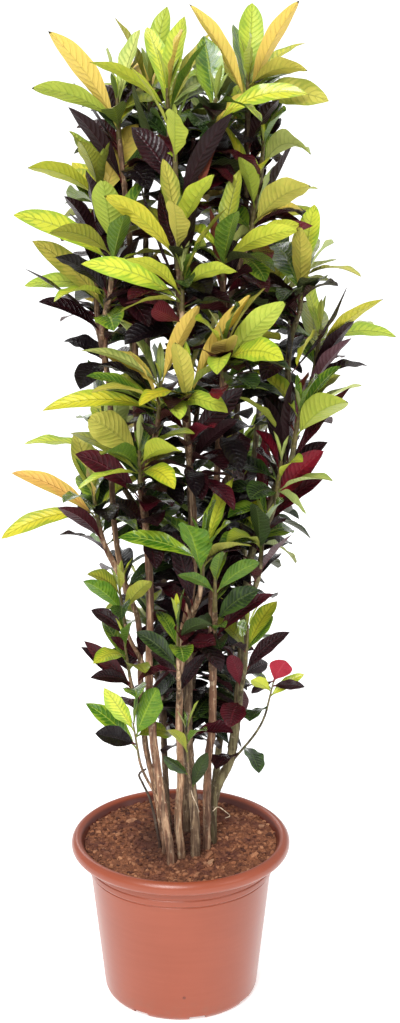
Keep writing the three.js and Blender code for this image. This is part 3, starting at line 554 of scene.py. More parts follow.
# Each head: where its middle is seen, then the leaves with a colour of their own, by their tips.
HEADS = {
    "crown_right": ((248, 92, -10), dict(
        gold=[(189, 4), (299, 1)], yellow=[(306, 43)], khaki=[(308, 71), (329, 103)], green=[(233, 24)],
        pale=[(251, 36)], dark=[(219, 67), (278, 100), (282, 116)])),
    "crown_mid": ((213, 118, -60), dict(
        lime=[(308, 94)], green=[(244, 82), (262, 122)], pale=[(197, 58)], dark=[(232, 140), (196, 140)])),
    "crown_centre": ((168, 108, -20), dict(
        lime=[(167, 57), (89, 62), (147, 27)], khaki=[(210, 33)], gold=[(183, 30)], green=[(207, 41)],
        dark=[(150, 92), (190, 100)])),
    "crown_left": ((118, 118, 0), dict(
        gold=[(48, 31)], pale=[(32, 88), (106, 49)], olive=[(141, 60)],
        dark=[(81, 76), (84, 86), (68, 107), (113, 82)])),
    "front_top": ((175, 152, -110), dict(
        pale=[(175, 112)], green=[(150, 112), (203, 108)], dark=[(132, 128), (233, 112)],
        brown=[(217, 143)])),
    "right_top": ((262, 160, -20), dict(
        sage=[(311, 155)], green=[(284, 112), (236, 124)], dark=[(289, 141), (296, 172)],
        black=[(262, 186)])),
    "right_upper": ((254, 214, -60), dict(
        khaki=[(311, 186)], lime=[(318, 189)], pale=[(240, 157)], sage=[(278, 165)],
        crimson=[(313, 227), (307, 218)], dark=[(232, 240)])),
    "left_upper": ((100, 196, -10), dict(
        gold=[(138, 124)], lime=[(27, 168)], olive=[(80, 142), (112, 140)],
        dark=[(86, 170), (64, 196), (69, 213), (136, 178)])),
    "left_mid_upper": ((112, 260, -90), dict(
        pale=[(99, 178)], lime=[(13, 215)], olive=[(49, 233)], green=[(127, 217)], black=[(55, 257)],
        dark=[(84, 232), (140, 238)])),
    "centre_upper": ((178, 248, -140), dict(
        yellow=[(104, 196)], khaki=[(174, 203), (177, 184)], lime=[(212, 175)], olive=[(143, 203)],
        dark=[(155, 180), (198, 177), (150, 262)])),
    "right_mid_upper": ((222, 260, -120), dict(
        green=[(234, 212), (226, 190)], lime=[(299, 230)], sage=[(252, 228)], brown=[(208, 207)],
        dark=[(252, 270)])),
    "left_mid": ((106, 298, -30), dict(
        khaki=[(32, 241)], pale=[(22, 286)], lime=[(54, 302)], olive=[(80, 244)], green=[(128, 250)],
        dark=[(38, 302), (32, 267), (90, 322)])),
    "centre": ((182, 290, -150), dict(
        lime=[(81, 264), (125, 259), (238, 272)], olive=[(119, 313)], green=[(206, 246)],
        crimson=[(160, 318), (182, 330)], dark=[(204, 318)])),
    "right": ((302, 290, -30), dict(
        khaki=[(300, 226), (361, 277)], green=[(276, 243)], lime=[(316, 237)], sage=[(334, 243)],
        dark=[(340, 280), (288, 322)], crimson=[(255, 280)])),
    "right_mid": ((318, 348, 0), dict(
        olive=[(310, 301)], yellow=[(384, 299), (297, 366)], sage=[(374, 326)], pale=[(398, 338)],
        dark=[(354, 321), (364, 363)], purple=[(352, 338)], crimson=[(308, 372)])),
    "centre_right": ((224, 358, -140), dict(
        pale=[(286, 302)], lime=[(284, 360), (195, 320)], green=[(240, 306)], olive=[(274, 427)],
        crimson=[(222, 400)], dark=[(200, 388)])),
    "centre_left": ((160, 399, -120), dict(
        yellow=[(42, 411)], gold=[(128, 352), (101, 354), (199, 304)], khaki=[(91, 393)],
        green=[(152, 348), (86, 376)], sage=[(80, 351)], dark=[(150, 436), (178, 428)])),
    "centre_mid": ((188, 402, -135), dict(
        khaki=[(175, 342), (205, 340)], gold=[(252, 293)], crimson=[(214, 428)],
        dark=[(237, 386), (190, 450), (238, 420)])),
    "left_low_mid": ((140, 468, -90), dict(
        khaki=[(89, 415)], olive=[(71, 432)], green=[(101, 455)], lime=[(182, 452), (78, 492)],
        pale=[(195, 434)], maroon=[(75, 454), (146, 512)], dark=[(166, 492), (112, 500)])),
    "far_left": ((96, 508, -30), dict(
        orange=[(11, 473)], yellow=[(1, 539)], green=[(63, 503), (122, 470), (88, 540)], gold=[(86, 476)],
        maroon=[(58, 507)], dark=[(59, 535), (116, 536)])),
    "right_fork": ((297, 428, -80), dict(
        pale=[(348, 402)], sage=[(362, 386)], green=[(318, 378)], maroon=[(346, 383)],
        dark=[(292, 380), (264, 396), (256, 452), (328, 442)])),
    "right_low_mid": ((279, 478, -80), dict(
        green=[(259, 440), (282, 440)], lime=[(303, 462)], sage=[(335, 482), (313, 510)],
        crimson=[(324, 451), (265, 426)], maroon=[(324, 478)])),
    "right_low": ((262, 545, -78), dict(
        deep=[(256, 505)], sage=[(297, 562)], green=[(284, 500)], maroon=[(241, 560), (288, 533)],
        dark=[(262, 582)])),
    "centre_low": ((203, 566, -120), dict(
        fresh=[(186, 524), (119, 537)], green=[(231, 522), (216, 500)],
        dark=[(174, 533), (244, 556), (172, 590), (216, 604)])),
    "low_left": ((122, 605, -60), dict(
        fresh=[(83, 581)], olive=[(119, 566), (150, 580)], dark=[(92, 610), (148, 622)],
        maroon=[(108, 634)])),
    "low_centre": ((215, 594, -105), dict(
        green=[(179, 572), (259, 561), (222, 556), (225, 628)], deep=[(259, 590), (196, 624)],
        maroon=[(274, 594)])),
    "low_right": ((247, 642, -50), dict(
        lime=[(277, 602), (241, 606)], green=[(262, 612)], dark=[(290, 632), (265, 662)],
        crimson=[(228, 658)])),
    "lower_left": ((127, 658, -60), dict(
        green=[(103, 621), (132, 622)], lime=[(93, 664)], maroon=[(92, 639)],
        dark=[(81, 650), (91, 678), (140, 634)])),
    "mid_low": ((178, 640, -110), dict(
        green=[(156, 612), (180, 606)], deep=[(212, 624), (136, 632)], dark=[(152, 652), (206, 654)])),
    "base_left": ((136, 740, -75), dict(
        fresh=[(84, 702), (157, 682)], lime=[(108, 684), (170, 734)], deep=[(112, 699)],
        black=[(97, 732)], dark=[(122, 752)])),
    "base_mid": ((187, 745, -75), dict(
        olive=[(166, 730)], green=[(207, 731)], deep=[(188, 718), (172, 756), (206, 756)])),
    "pink": ((271, 692, -20), dict(
        pink=[(284, 657)], lime=[(303, 674), (251, 680)], dark=[(305, 687), (252, 694)])),
    "rear_crown_left": ((150, 100, 80), {}),
    "rear_crown_right": ((225, 130, 90), {}),
    "rear_left_upper": ((120, 230, 110), {}),
    "rear_right_upper": ((232, 230, 120), {}),
    "rear_right": ((270, 300, 130), {}),
    "rear_left_mid": ((130, 330, 130), {}),
    "rear_centre_mid": ((200, 360, 100), {}),
    "rear_left_low": ((112, 450, 110), {}),
    "rear_right_mid": ((240, 470, 150), {}),
    "rear_centre_low": ((180, 540, 75), {}),
    "rear_low_left": ((150, 620, 110), {}),
    "rear_low_right": ((220, 640, 115), {}),
}


def spot(px, py, depth):
    """The point, in metres, that is seen at a pixel of the view and lies at a depth."""
    right = (px - VIEW["centre"][0]) / VIEW["focal"]
    up = (VIEW["centre"][1] - py) / VIEW["focal"]
    sine, cosine = math.sin(VIEW["pitch"]), math.cos(VIEW["pitch"])
    reach = (depth * MM + VIEW["back"]) / (cosine + up * sine)
    return Vector((VIEW["across"] + reach * right, depth * MM, VIEW["height"] + reach * (up * cosine - sine)))


def seen(point):
    """The pixel of the view at which a point is seen, and how far away it is."""
    ray = point - EYE
    sine, cosine = math.sin(VIEW["pitch"]), math.cos(VIEW["pitch"])
    far = ray.y * cosine - ray.z * sine
    up = ray.y * sine + ray.z * cosine
    return VIEW["centre"][0] + VIEW["focal"] * ray.x / far, VIEW["centre"][1] - VIEW["focal"] * up / far, far


class Path:
    """A smooth line, measured along its length."""

    def __init__(self, points):
        self.points = np.array([tuple(p) for p in points])
        steps = np.linalg.norm(np.diff(self.points, axis=0), axis=1)
        self.marks = np.concatenate([[0], np.cumsum(steps)])
        self.length = self.marks[-1]

    def at(self, share):
        return Vector([np.interp(share * self.length, self.marks, self.points[:, k]) for k in range(3)])

    def heading(self, share):
        return (self.at(min(1, share + 0.004)) - self.at(max(0, share - 0.004))).normalized()


def smooth_line(places, cuts=24):
    """A centripetal Catmull-Rom curve through places."""
    ends = [places[0] * 2 - places[1], *places, places[-1] * 2 - places[-2]]
    line = []
    for i in range(1, len(ends) - 2):
        p0, p1, p2, p3 = ends[i - 1:i + 3]
        d0, d1, d2 = [math.sqrt((b - a).length) for a, b in ((p0, p1), (p1, p2), (p2, p3))]
        t1 = ((p1 - p0) / d0 - (p2 - p0) / (d0 + d1) + (p2 - p1) / d1) * d1
        t2 = ((p2 - p1) / d1 - (p3 - p1) / (d1 + d2) + (p3 - p2) / d2) * d1
        square, cube = p2 * 3 - p1 * 3 - t1 * 2 - t2, p1 * 2 - p2 * 2 + t1 + t2
        for k in range(cuts):
            t = k / cuts
            line.append(p1 + t1 * t + square * t * t + cube * t ** 3)
    return Path(line + [places[-1]])


def foot_point(foot, rise):
    return Vector((foot[0] * MM, foot[1] * MM, (SOIL_TOP + rise) * MM))


def shoot_of(head, beneath):
    """Where the green shoot of a head starts, the way it leans, and where it ends."""
    centre = spot(*HEADS[head][0])
    lean = ((centre - beneath).normalized() + Vector((0, 0, SHOOT["upright"]))).normalized()
    return centre - lean * SHOOT["below"] * MM, lean, centre + lean * SHOOT["above"] * MM


def cane_path(foot, places, head):
    via = [spot(*place) for place in places]
    shoot = shoot_of(head, via[-1])
    return shoot, smooth_line([foot_point(foot, CURVE_START), *via, shoot[0]])


def fork_path(main, head):
    """A fork leaves the cane far enough below its head, and bends up into the head's shoot."""
    centre = spot(*HEADS[head][0])
    share = FORK["lowest"]
    for i in range(FORK_PLACES - 4, 4, -1):
        point = main.at(i / FORK_PLACES)
        aside = math.hypot(centre.x - point.x, centre.y - point.y)
        if centre.z - SHOOT["below"] * MM - point.z >= FORK["rise"] * MM + FORK["slope"] * aside:
            share = i / FORK_PLACES
            break
    foot = main.at(share)
    shoot = shoot_of(head, foot)
    reach = (shoot[0] - foot).length * FORK["pull"]
    a, b, c, d = foot, foot + main.heading(share) * reach, shoot[0] - shoot[1] * reach, shoot[0]
    line = [a * (1 - t) ** 3 + b * 3 * t * (1 - t) ** 2 + c * 3 * t * t * (1 - t) + d * t ** 3
            for t in (k / FORK_CUTS for k in range(FORK_CUTS + 1))]
    return shoot, Path(line)


def bark_finish(name, old, young, lichen, pale, lichened):
    material, tree, shader, where = new_finish(name, Specular_IOR_Level=0.3)
    fibre = noise(tree, where.vector("MULTIPLY", (1, 1, 0.12)), 480.0, 5.0, 0.65)
    blotch = noise(tree, where, 55.0, 4.0, 0.6)
    streak = noise(tree, where.vector("MULTIPLY", (1, 1, 0.07)), 210.0, 4.0, 0.6)
    scar = read(tree, "scar")
    long = noise(tree, where.vector("MULTIPLY", (1, 1, 0.05)), 150.0, 3.0, 0.55)
    colour = read(tree, "thick").ramp(0.0036, 0.0056).mix(young, old)
    colour = (blotch.ramp(0.42, 0.62) * 0.7).mix(colour, lichen)
    colour = (streak.ramp(0.48, 0.6) * 0.65).mix(colour, pale)
    colour = (noise(tree, where, 130.0, 3.0).ramp(0.58, 0.7) * lichened).mix(colour, paint(206, 186, 156))
    colour = (fibre.ramp(0.54, 0.7) * 0.5).mix(colour, paint(66, 46, 36))
    colour = ((1 - long.ramp(0.38, 0.54)) * 0.68).mix(colour, paint(58, 41, 33))
    colour = (scar * 0.4).mix(colour, paint(80, 60, 46))
    colour = ((1 - where.axis(2).ramp(0.262, 0.34)) * 0.3).mix(colour, paint(70, 46, 38))
    furrows = fibre * 0.6 + streak * 0.5 + long * 0.6 + scar * 0.4
    set_looks(tree, shader, colour, 0.66 + fibre * 0.25, furrows, 0.002)
    return material


def even_line(tree, given):
    """The edges of the source as curves with even steps, and how far along its curve a point is."""
    line = Wire.node(tree, "GeometryNodeMeshToCurve", {"Mesh": given["Geometry"]})
    line = Wire.node(tree, "GeometryNodeResampleCurve", {"Curve": line, "Length": given["Step"]},
                     mode="LENGTH")
    along = Wire.node(tree, "GeometryNodeSplineParameter", out=1)
    return stored(tree, line, "along", along), along


def round_stem(tree, line, sides, radius):
    section = Wire.node(tree, "GeometryNodeCurvePrimitiveCircle", {"Resolution": sides, "Radius": 1.0})
    return Wire.node(tree, "GeometryNodeCurveToMesh", {
        "Curve": line, "Profile Curve": section, "Fill Caps": True, "Scale": radius})


def tube_tree(name, material):
    """Round stems along polylines: a radius at each point, swollen rings at the leaf scars."""
    tree, given = new_tree(name, TUBE)
    line, along = even_line(tree, given)
    half = given["Scar pitch"] / 2
    track = Wire.node(tree, "ShaderNodeCombineXYZ", {0: along, 1: given["Seed"]})
    wander = (noise(tree, track, 24.0, 1.0) - 0.5) * 0.03
    ring = (1 - (along + wander).ping(half) / half) ** 5 * noise(tree, track, 70.0, 1.0).ramp(0.35, 0.65)
    line = stored(tree, line, "scar", ring)
    tube = round_stem(tree, line, given["Sides"], noted(tree, "thick") * (1 + ring * given["Swell"]))
    where = Wire.node(tree, "GeometryNodeInputPosition")
    knobs = (noise(tree, where, 60.0, 2.0) - 0.5) * 2.4
    furrows = (noise(tree, where.vector("MULTIPLY", (1, 1, 0.12)), 260.0, 3.0) - 0.5) * 1.6
    full = noted(tree, "thick").ramp(0.0018, 0.006)
    normal = Wire.node(tree, "GeometryNodeInputNormal")
    tube = moved(tree, tube, Offset=normal.vector("SCALE", (knobs + furrows) * full * given["Ripple"]))
    end_tree(tree, painted(tree, tube, material))
    return tree


def stem_mesh(name, stems):
    """Polylines with a radius at each point, as the source of a tube tree."""
    points, edges, thick = [], [], []
    for line, radii in stems:
        start = len(points)
        points += [tuple(p) for p in line]
        thick += radii
        edges += [(i, i + 1) for i in range(start, len(points) - 1)]
    mesh = bpy.data.meshes.new(name)
    mesh.from_pydata(points, edges, [])
    mesh.attributes.new("thick", "FLOAT", "POINT").data.foreach_set("value", thick)
    return mesh


# bark: old wood, young wood, lichen and pale streaks, and how much of it is speckled
BARKS = {
    "tan": ((120, 84, 64), (96, 76, 54), (146, 108, 84), (204, 168, 134), 0.5),
    "pale": ((138, 102, 76), (104, 82, 58), (172, 134, 102), (222, 190, 154), 0.6),
    "grey": ((94, 74, 56), (82, 68, 48), (116, 94, 72), (166, 142, 112), 0.4),
    "mossy": ((96, 84, 58), (80, 74, 48), (112, 106, 72), (152, 142, 104), 0.5),
    "dry": ((60, 52, 46), (60, 52, 46), (84, 74, 64), (112, 98, 84), 0.2),
    "root": ((206, 178, 146), (214, 190, 158), (226, 206, 180), (232, 214, 190), 0.2),
}


def bark_tree(kind):
    *colours, lichened = BARKS[kind]
    return tube_tree(kind + "_stems", bark_finish(kind + "_bark", *[paint(*c) for c in colours], lichened))


bark_trees = {kind: bark_tree(kind) for kind in BARKS}

carriers, mains = {}, {}
for cane, (foot, thick, bark, places, heads) in CANES.items():
    shoot, main = cane_path(foot, places, heads[0])
    shares = [i / CANE_STEPS for i in range(CANE_STEPS + 1)]
    line = [foot_point(foot, -SOCKET_DEPTH), foot_point(foot, -20)] + [main.at(s) for s in shares]
    top = SHOOT["thick"]
    radii = [(thick + (top - thick) * s) * MM for s in [0, 0] + shares]
    stems = [(line, radii)]
    carriers[heads[0]], mains[cane] = (cane, shoot, main), main
    for head in heads[1:]:
        shoot, fork = fork_path(main, head)
        shares = [i / FORK_STEPS for i in range(FORK_STEPS + 1)]
        slim = SLIM.get(head, 1) * MM
        radii = [(FORK["thick"] + (top - FORK["thick"]) * s + FORK["collar"] * max(0, 1 - s * 8)) * slim
                 for s in shares]
        stems.append(([fork.at(s) for s in shares], radii))
        carriers[head] = (cane, shoot, fork)
    piece = grown("cane_wood_" + cane, stem_mesh("stems", stems), bark_trees[bark], TUBE, sharp=60)
    settled(piece, "bark", "cane_" + cane)

# ---------------------------------------------------------------------------------------------
# The dead twig and the loose root fibres. A thin dry stick stands at the left of the canes, its
# end bent over in a hook, and two pale fibres of root stick up out of the soil.

TWIG_FOOT, TWIG_VIA = (-33, -34), [(150, 799, -28), (143, 784, -26), (139, 774, -26), (146, 769, -28)]
TWIG_THICK, TWIG_TAPER, TWIG_STEPS = 2.2, 0.5, 24
FIBRE_THICK, FIBRE_TAPER, FIBRE_STEPS = 0.9, 0.4, 20
FIBRES = [[(199, 812, -66), (196, 803, -68), (193, 797, -69), (191, 790, -70)],
          [(213, 811, -52), (218, 807, -55), (226, 812, -58), (230, 816, -60), (225, 818, -62)]]


def tapered(path, steps, thick, taper):
    """Even steps along a path, with a radius at each that grows less toward its end."""
    line = [path.at(i / steps) for i in range(steps + 1)]
    return line, [(thick - taper * i / steps) * MM for i in range(steps + 1)]


hook = smooth_line([foot_point(TWIG_FOOT, CURVE_START)] + [spot(*place) for place in TWIG_VIA])
hook_line, hook_radii = tapered(hook, TWIG_STEPS, TWIG_THICK, TWIG_TAPER)
twig_line = [foot_point(TWIG_FOOT, -SOCKET_DEPTH), foot_point(TWIG_FOOT, -10)] + hook_line
twig_radii = [TWIG_THICK * MM] * 2 + hook_radii
twig = grown("dead_stick", stem_mesh("stick", [(twig_line, twig_radii)]), bark_trees["dry"],
             {**TUBE, "Step": 0.0015, "Ripple": 0.0007, "Sides": 8}, sharp=60)
settled(twig, "bark", "dead_twig")

strands = [tapered(smooth_line([spot(*place) for place in places]), FIBRE_STEPS, FIBRE_THICK, FIBRE_TAPER)
           for places in FIBRES]
fibres = grown("root_fibres", stem_mesh("fibres", strands), bark_trees["root"],
               {**TUBE, "Step": 0.001, "Ripple": 0.0003, "Sides": 6}, sharp=60)
settled(fibres, "bark")

# ---------------------------------------------------------------------------------------------
# The leaves. Stiff, leathery, pointed blades on short stalks. The young ones at the shoot's tip are
# lime, gold or khaki, with a net of veins; the old ones below are purple-black, maroon or crimson.

# colour: upper face, its patches, veins, underside, gloss (0 shiny), patching, strength of the veins
TONES = {
    "gold": ((228, 196, 92), (212, 196, 82), (164, 132, 56), (224, 192, 104), 0.34, 0.75, 0.45),
    "orange": ((228, 178, 96), (216, 188, 92), (176, 124, 60), (222, 174, 104), 0.34, 0.75, 0.4),
    "yellow": ((204, 196, 52), (142, 164, 44), (110, 124, 36), (178, 174, 70), 0.3, 0.8, 0.45),
    "khaki": ((200, 190, 84), (156, 166, 64), (110, 118, 46), (180, 170, 80), 0.34, 0.75, 0.45),
    "lime": ((206, 212, 62), (148, 180, 50), (100, 128, 38), (174, 180, 76), 0.24, 0.85, 0.45),
    "pale": ((180, 194, 68), (140, 168, 54), (100, 126, 42), (164, 172, 78), 0.3, 0.75, 0.45),
    "fresh": ((58, 106, 20), (136, 164, 36), (160, 184, 56), (104, 126, 44), 0.16, 0.9, 0.7),
    "green": ((62, 100, 28), (128, 154, 42), (160, 178, 66), (104, 124, 54), 0.16, 0.85, 0.65),
    "deep": ((30, 46, 22), (58, 82, 32), (86, 106, 44), (74, 78, 48), 0.18, 0.75, 0.5),
    "sage": ((188, 198, 110), (144, 168, 82), (102, 124, 58), (176, 182, 112), 0.38, 0.7, 0.55),
    "olive": ((156, 160, 54), (118, 138, 46), (76, 90, 34), (146, 146, 68), 0.28, 0.7, 0.6),
    "dark": ((28, 10, 14), (48, 14, 21), (82, 22, 30), (52, 26, 29), 0.2, 0.55, 0.3),
    "black": ((17, 12, 15), (28, 18, 20), (46, 26, 30), (42, 31, 32), 0.16, 0.4, 0.25),
    "purple": ((78, 44, 52), (60, 30, 38), (110, 66, 74), (98, 70, 76), 0.28, 0.6, 0.4),
    "maroon": ((54, 13, 21), (78, 17, 28), (112, 28, 40), (76, 32, 37), 0.22, 0.6, 0.35),
    "crimson": ((106, 16, 32), (66, 14, 24), (142, 36, 48), (96, 36, 44), 0.24, 0.7, 0.4),
    "pink": ((170, 36, 54), (142, 22, 40), (200, 74, 86), (168, 44, 60), 0.3, 0.8, 0.6),
    "brown": ((124, 62, 44), (92, 42, 34), (148, 84, 58), (128, 82, 64), 0.36, 0.6, 0.4),
}
RED_STALKED = ("dark", "black", "maroon", "crimson", "pink", "brown")
RED_STALK, GREEN_STALK = (128, 44, 44), (140, 150, 62)
# How much wax lies on the upper face of the shiniest colours.
WAXY = {"fresh": 0.9, "green": 0.9, "deep": 0.3, "olive": 0.5, "lime": 0.4, "pink": 0.4}
CROWN_TONES = ["lime", "khaki", "pale", "gold", "olive", "lime", "yellow", "sage", "khaki", "green"]
YOUNG_TONES = ["lime", "lime", "green", "pale", "khaki", "gold", "olive", "yellow", "green", "sage"]
LOW_TONES = ["green", "lime", "olive", "deep", "green"]
OLD_TONES = ["dark", "dark", "dark", "black", "maroon", "deep", "dark", "maroon", "deep", "green"]
# Below this height a head is low, and above this line of the view it belongs to the crown.
LOW_HEADS, CROWN_LINE = 0.72, 175
# How much the leaves of one colour differ in shade and in warmth, and how far a noted leaf's underside
# takes the colour of its face.
SHADE_RANGE, WARM_RANGE, FACE_SHARE = 0.24, 0.1, 0.65
# A CAD leaf's two rings along its midrib, their share of its width, and the least length of its tip.
RING_SHARES, RING_WIDTH, LEAST_TIP = (0.34, 0.69), 0.88, 0.012
# How far, in pixels, a leaf's tip may be from a noted one to take its colour.
TIP_REACH = 16
# Leaves added to the heads seen above each line of the view: young, old, and how far down they grow.
EXTRA = [(170, 3, 27, 0.06), (330, 2, 17, 0.09), (520, 3, 17, 0.14), (590, 2, 9, 0.12), (700, 1, 3, 0.1),
         (VIEW["tall"], 0, 0, 0.1)]
GOLDEN = math.radians(137.5)
# More young leaves on a rear head, small leaves in the tuft at a shoot's tip, and the length of leaves on
# the low heads, as a share of the others'.
REAR_YOUNG, TUFT, LOW_SHARE = 4, 3, 0.72
TUFT_TONES = ["pale", "sage", "green", "lime"]
# Shares of a midrib at which leaves are kept apart, and at which a noted leaf is kept in sight.
MARK_SHARES, GUARD_SHARES = (0.35, 0.55, 0.75, 1.0), (0.3, 0.5, 0.7, 0.9)
# How far added leaves keep from other midribs and inside the box, and how low they may reach.
CLEAR, BOX_EDGE, LOWEST = 0.006, 0.004, 0.385
# For the test of added leaves against blades and stems: a rough blade's width along its midrib, as
# shares, the steps and the radius of rough stems, and how often a place is tried.
BLADE_ROWS = [(0.28, 0.6), (0.5, 1.02), (0.75, 0.96), (0.9, 0.56), (1.0, 0.06)]
STEM_STEP, STEM_RADIUS, TRIES = 0.012, 0.0062, 70
# How deep the fold along a midrib is, at least and by chance more, and in the small and the pink leaves.
LEAST_FOLD, MORE_FOLD, SMALL_FOLD, PINK_FOLD = 0.14, 0.3, 0.5, 0.03
# The pink leaf is this share as wide as its solid.
PINK_WIDTH = 0.76
# How far to the sides added leaves are seen, down the view: line, left and right.
BOUNDS = [(40, 82, 300), (130, 72, 290), (215, 60, 306), (300, 44, 345), (380, 72, 345), (450, 74, 325),
          (520, 60, 300), (600, 95, 285), (660, 84, 270), (760, 112, 262)]
# Dark old leaves low on the middle cane and on three behind it, seen between the canes in front: how many
# on each cane, the heights of their roots, and the sides of the view they keep between.
SHADED = {"left_rear": 72, "right_rear": 60, "right_top": 72, "middle": 58}
SHADED_HEIGHTS, SHADED_SIDES = (0.42, 0.8), (150, 248)
SHADED_TONES = ["dark", "black", "deep", "black", "maroon"]
# The first seed of each kind of chance.
SEEDS = dict(young=100, old=300, fold=500, added=700, shaded=900, young_looks=1000, old_looks=2000)
# A shoot's steps, sides and radii from its foot to its tip, and the sizes of the blade's tree.
SHOOT_STEP, SHOOT_SIDES, SHOOT_RADII = 0.003, 10, (0.004, 0.0033, 0.0024)
BLADE = {"Rows": 21, "Columns": 7, "Stalk": 0.11, "Stalk radius": 0.0014, "Thickness": 0.00032,
         "Rib": 0.0007, "Fold": 1.0, "Wave": 0.0022, "Waves": 3.1}


def facing_side(ring, corner):
    """The length of the side of a ring of three that lies across from one of its corners."""
    one, two = [other.co for other in ring if other is not corner]
    return (one - two).length


def leaves_of(node):
    """Reads the leaves back from a CAD node: root, knee and tip of the midrib, side and width."""
    shape = bmesh.new()
    shape.from_mesh(node.data)
    bmesh.ops.remove_doubles(shape, verts=shape.verts, dist=1e-5)
    found = []
    for tip in shape.verts:
        outer = [edge.other_vert(tip) for edge in tip.link_edges]
        if len(outer) != 3 or min((v.co - tip.co).length for v in outer) < LEAST_TIP:
            continue
        inner = {edge.other_vert(v) for v in outer for edge in v.link_edges} - set(outer) - {tip}
        if len(inner) != 3:
            continue
        middles, ups, widths, sides = [], [], [], []
        for ring in (list(inner), outer):
            keel = max(ring, key=lambda corner: facing_side(ring, corner))
            left, right = [v for v in ring if v is not keel]
            edge = (left.co + right.co) / 2
            middles.append((edge + keel.co) / 2)
            ups.append((edge - keel.co).normalized())
            widths.append((right.co - left.co).length / RING_WIDTH)
            sides.append((right.co - left.co).normalized())
        (u1, u2), end = RING_SHARES, tip.co.copy()
        one, two = middles[0] - end * u1 * u1, middles[1] - end * u2 * u2
        a1, b1, a2, b2 = (1 - u1) ** 2, 2 * u1 * (1 - u1), (1 - u2) ** 2, 2 * u2 * (1 - u2)
        span = a1 * b2 - a2 * b1
        root, knee = (one * b2 - two * b1) / span, (two * a1 - one * a2) / span
        side = sides[1] if sides[1].cross(end - root).dot(ups[1]) > 0 else -sides[1]
        found.append(dict(root=root, knee=knee, tip=end, side=side, half=max(widths) / 2))
    shape.free()
    return found


def midrib(leaf, u):
    return leaf["root"] * (1 - u) ** 2 + leaf["knee"] * 2 * u * (1 - u) + leaf["tip"] * u * u


def give_tones(leaves, heads, draw, choices):
    """Colours leaves: those whose tips are noted get their own colour, the rest one by chance."""
    marks = [(tone, tip) for head in heads for tone, tips in HEADS[head][1].items() for tip in tips]
    pairs = []
    for leaf in leaves:
        px, py, _ = seen(leaf["tip"])
        pairs += [(math.hypot(px - x, py - y), leaf, tone, (x, y)) for tone, (x, y) in marks]
    used = set()
    for away, leaf, tone, tip in sorted(pairs, key=lambda pair: pair[0]):
        if away <= TIP_REACH and "tone" not in leaf and tip not in used:
            leaf.update(tone=tone, noted=True)
            used.add(tip)
    for leaf in leaves:
        leaf["tone"] = leaf.get("tone") or draw.choice(choices)


def extra_leaf(root, azimuth, climb, length, half, arch, draw, tone):
    """A leaf by rule: it leaves its stem at an azimuth and a climb, and arches over."""
    level = math.cos(climb)
    along = Vector((level * math.cos(azimuth), level * math.sin(azimuth), math.sin(climb)))
    tip = root + along * length
    lift = Vector((0, 0, 1)) - along * along.z
    side = along.cross(Vector((0, 0, 1))).normalized()
    side = Matrix.Rotation((draw.random() - 0.5) * 0.8, 3, along) @ side
    return dict(root=root, knee=root.lerp(tip, 0.5) + lift * arch * length * 2, tip=tip, side=side, half=half,
                tone=tone, fold=LEAST_FOLD + MORE_FOLD * draw.random())


def tuft_leaf(rank, azimuth, shoot, draw):
    """A small leaf at the very tip of a shoot."""
    root = shoot[2] - shoot[1] * 0.003 * (rank % 3)
    length = 0.028 + 0.034 * draw.random()
    leaf = extra_leaf(root, azimuth, 1.05 + 0.35 * draw.random(), length, length * 0.085, 0.06, draw,
                      draw.choice(TUFT_TONES))
    return {**leaf, "small": True, "fold": SMALL_FOLD}


def young_leaf(azimuth, shoot, share, tones, draw):
    """A bright leaf on a shoot."""
    root = shoot[0].lerp(shoot[2], 0.15 + 0.7 * draw.random())
    length = (0.085 + 0.035 * draw.random()) * share
    return extra_leaf(root, azimuth, 0.05 + 0.8 * draw.random(), length, 0.015 + 0.005 * draw.random(), 0.15,
                      draw, draw.choice(tones))


def old_leaf(on_shoot, azimuth, shoot, path, reach, share, draw):
    """A dark leaf, low on a shoot or within reach below it on the fork."""
    back = max(0.05, 1 - (0.004 + reach * draw.random()) / path.length)
    root = shoot[0].lerp(shoot[2], 0.5 * draw.random()) if on_shoot else path.at(back)
    length = (0.07 + 0.045 * draw.random()) * share
    return extra_leaf(root, azimuth, -0.35 + 0.75 * draw.random() + 0.3 * on_shoot, length,
                      0.014 + 0.008 * draw.random(), 0.14, draw, draw.choice(OLD_TONES))


def shaded_leaf(path, draw):
    """A dark leaf low on one of the canes behind."""
    height = SHADED_HEIGHTS[0] + (SHADED_HEIGHTS[1] - SHADED_HEIGHTS[0]) * draw.random()
    root = path.at(np.interp(height, path.points[:, 2], path.marks) / path.length)
    return extra_leaf(root, draw.uniform(-0.4, 3.54), draw.uniform(-0.9, 0.4), draw.uniform(0.075, 0.12),
                      draw.uniform(0.014, 0.021), 0.1, draw, draw.choice(SHADED_TONES))


def marks_of(leaf):
    """Points along a leaf's midrib, by which leaves are kept apart."""
    return [midrib(leaf, u) for u in MARK_SHARES]


def blade_outline(leaf):
    """A rough blade beyond the stalk, as a tree of a few faces, with its middle and its reach."""
    points = []
    for u, wide in BLADE_ROWS:
        ahead = ((leaf["knee"] - leaf["root"]) * (1 - u) + (leaf["tip"] - leaf["knee"]) * u).normalized()
        flat = (leaf["side"] - ahead * leaf["side"].dot(ahead)).normalized() * leaf["half"] * wide
        raised = flat.cross(ahead) * leaf["fold"]
        middle = midrib(leaf, u)
        points += [middle - flat + raised, middle, middle + flat + raised]
    faces = [(3 * row + k, 3 * row + k + 1, 3 * row + k + 4, 3 * row + k + 3)
             for row in range(len(BLADE_ROWS) - 1) for k in (0, 1)]
    return BVHTree.FromPolygons(points, faces), midrib(leaf, 0.65), (leaf["tip"] - leaf["root"]).length * 0.5


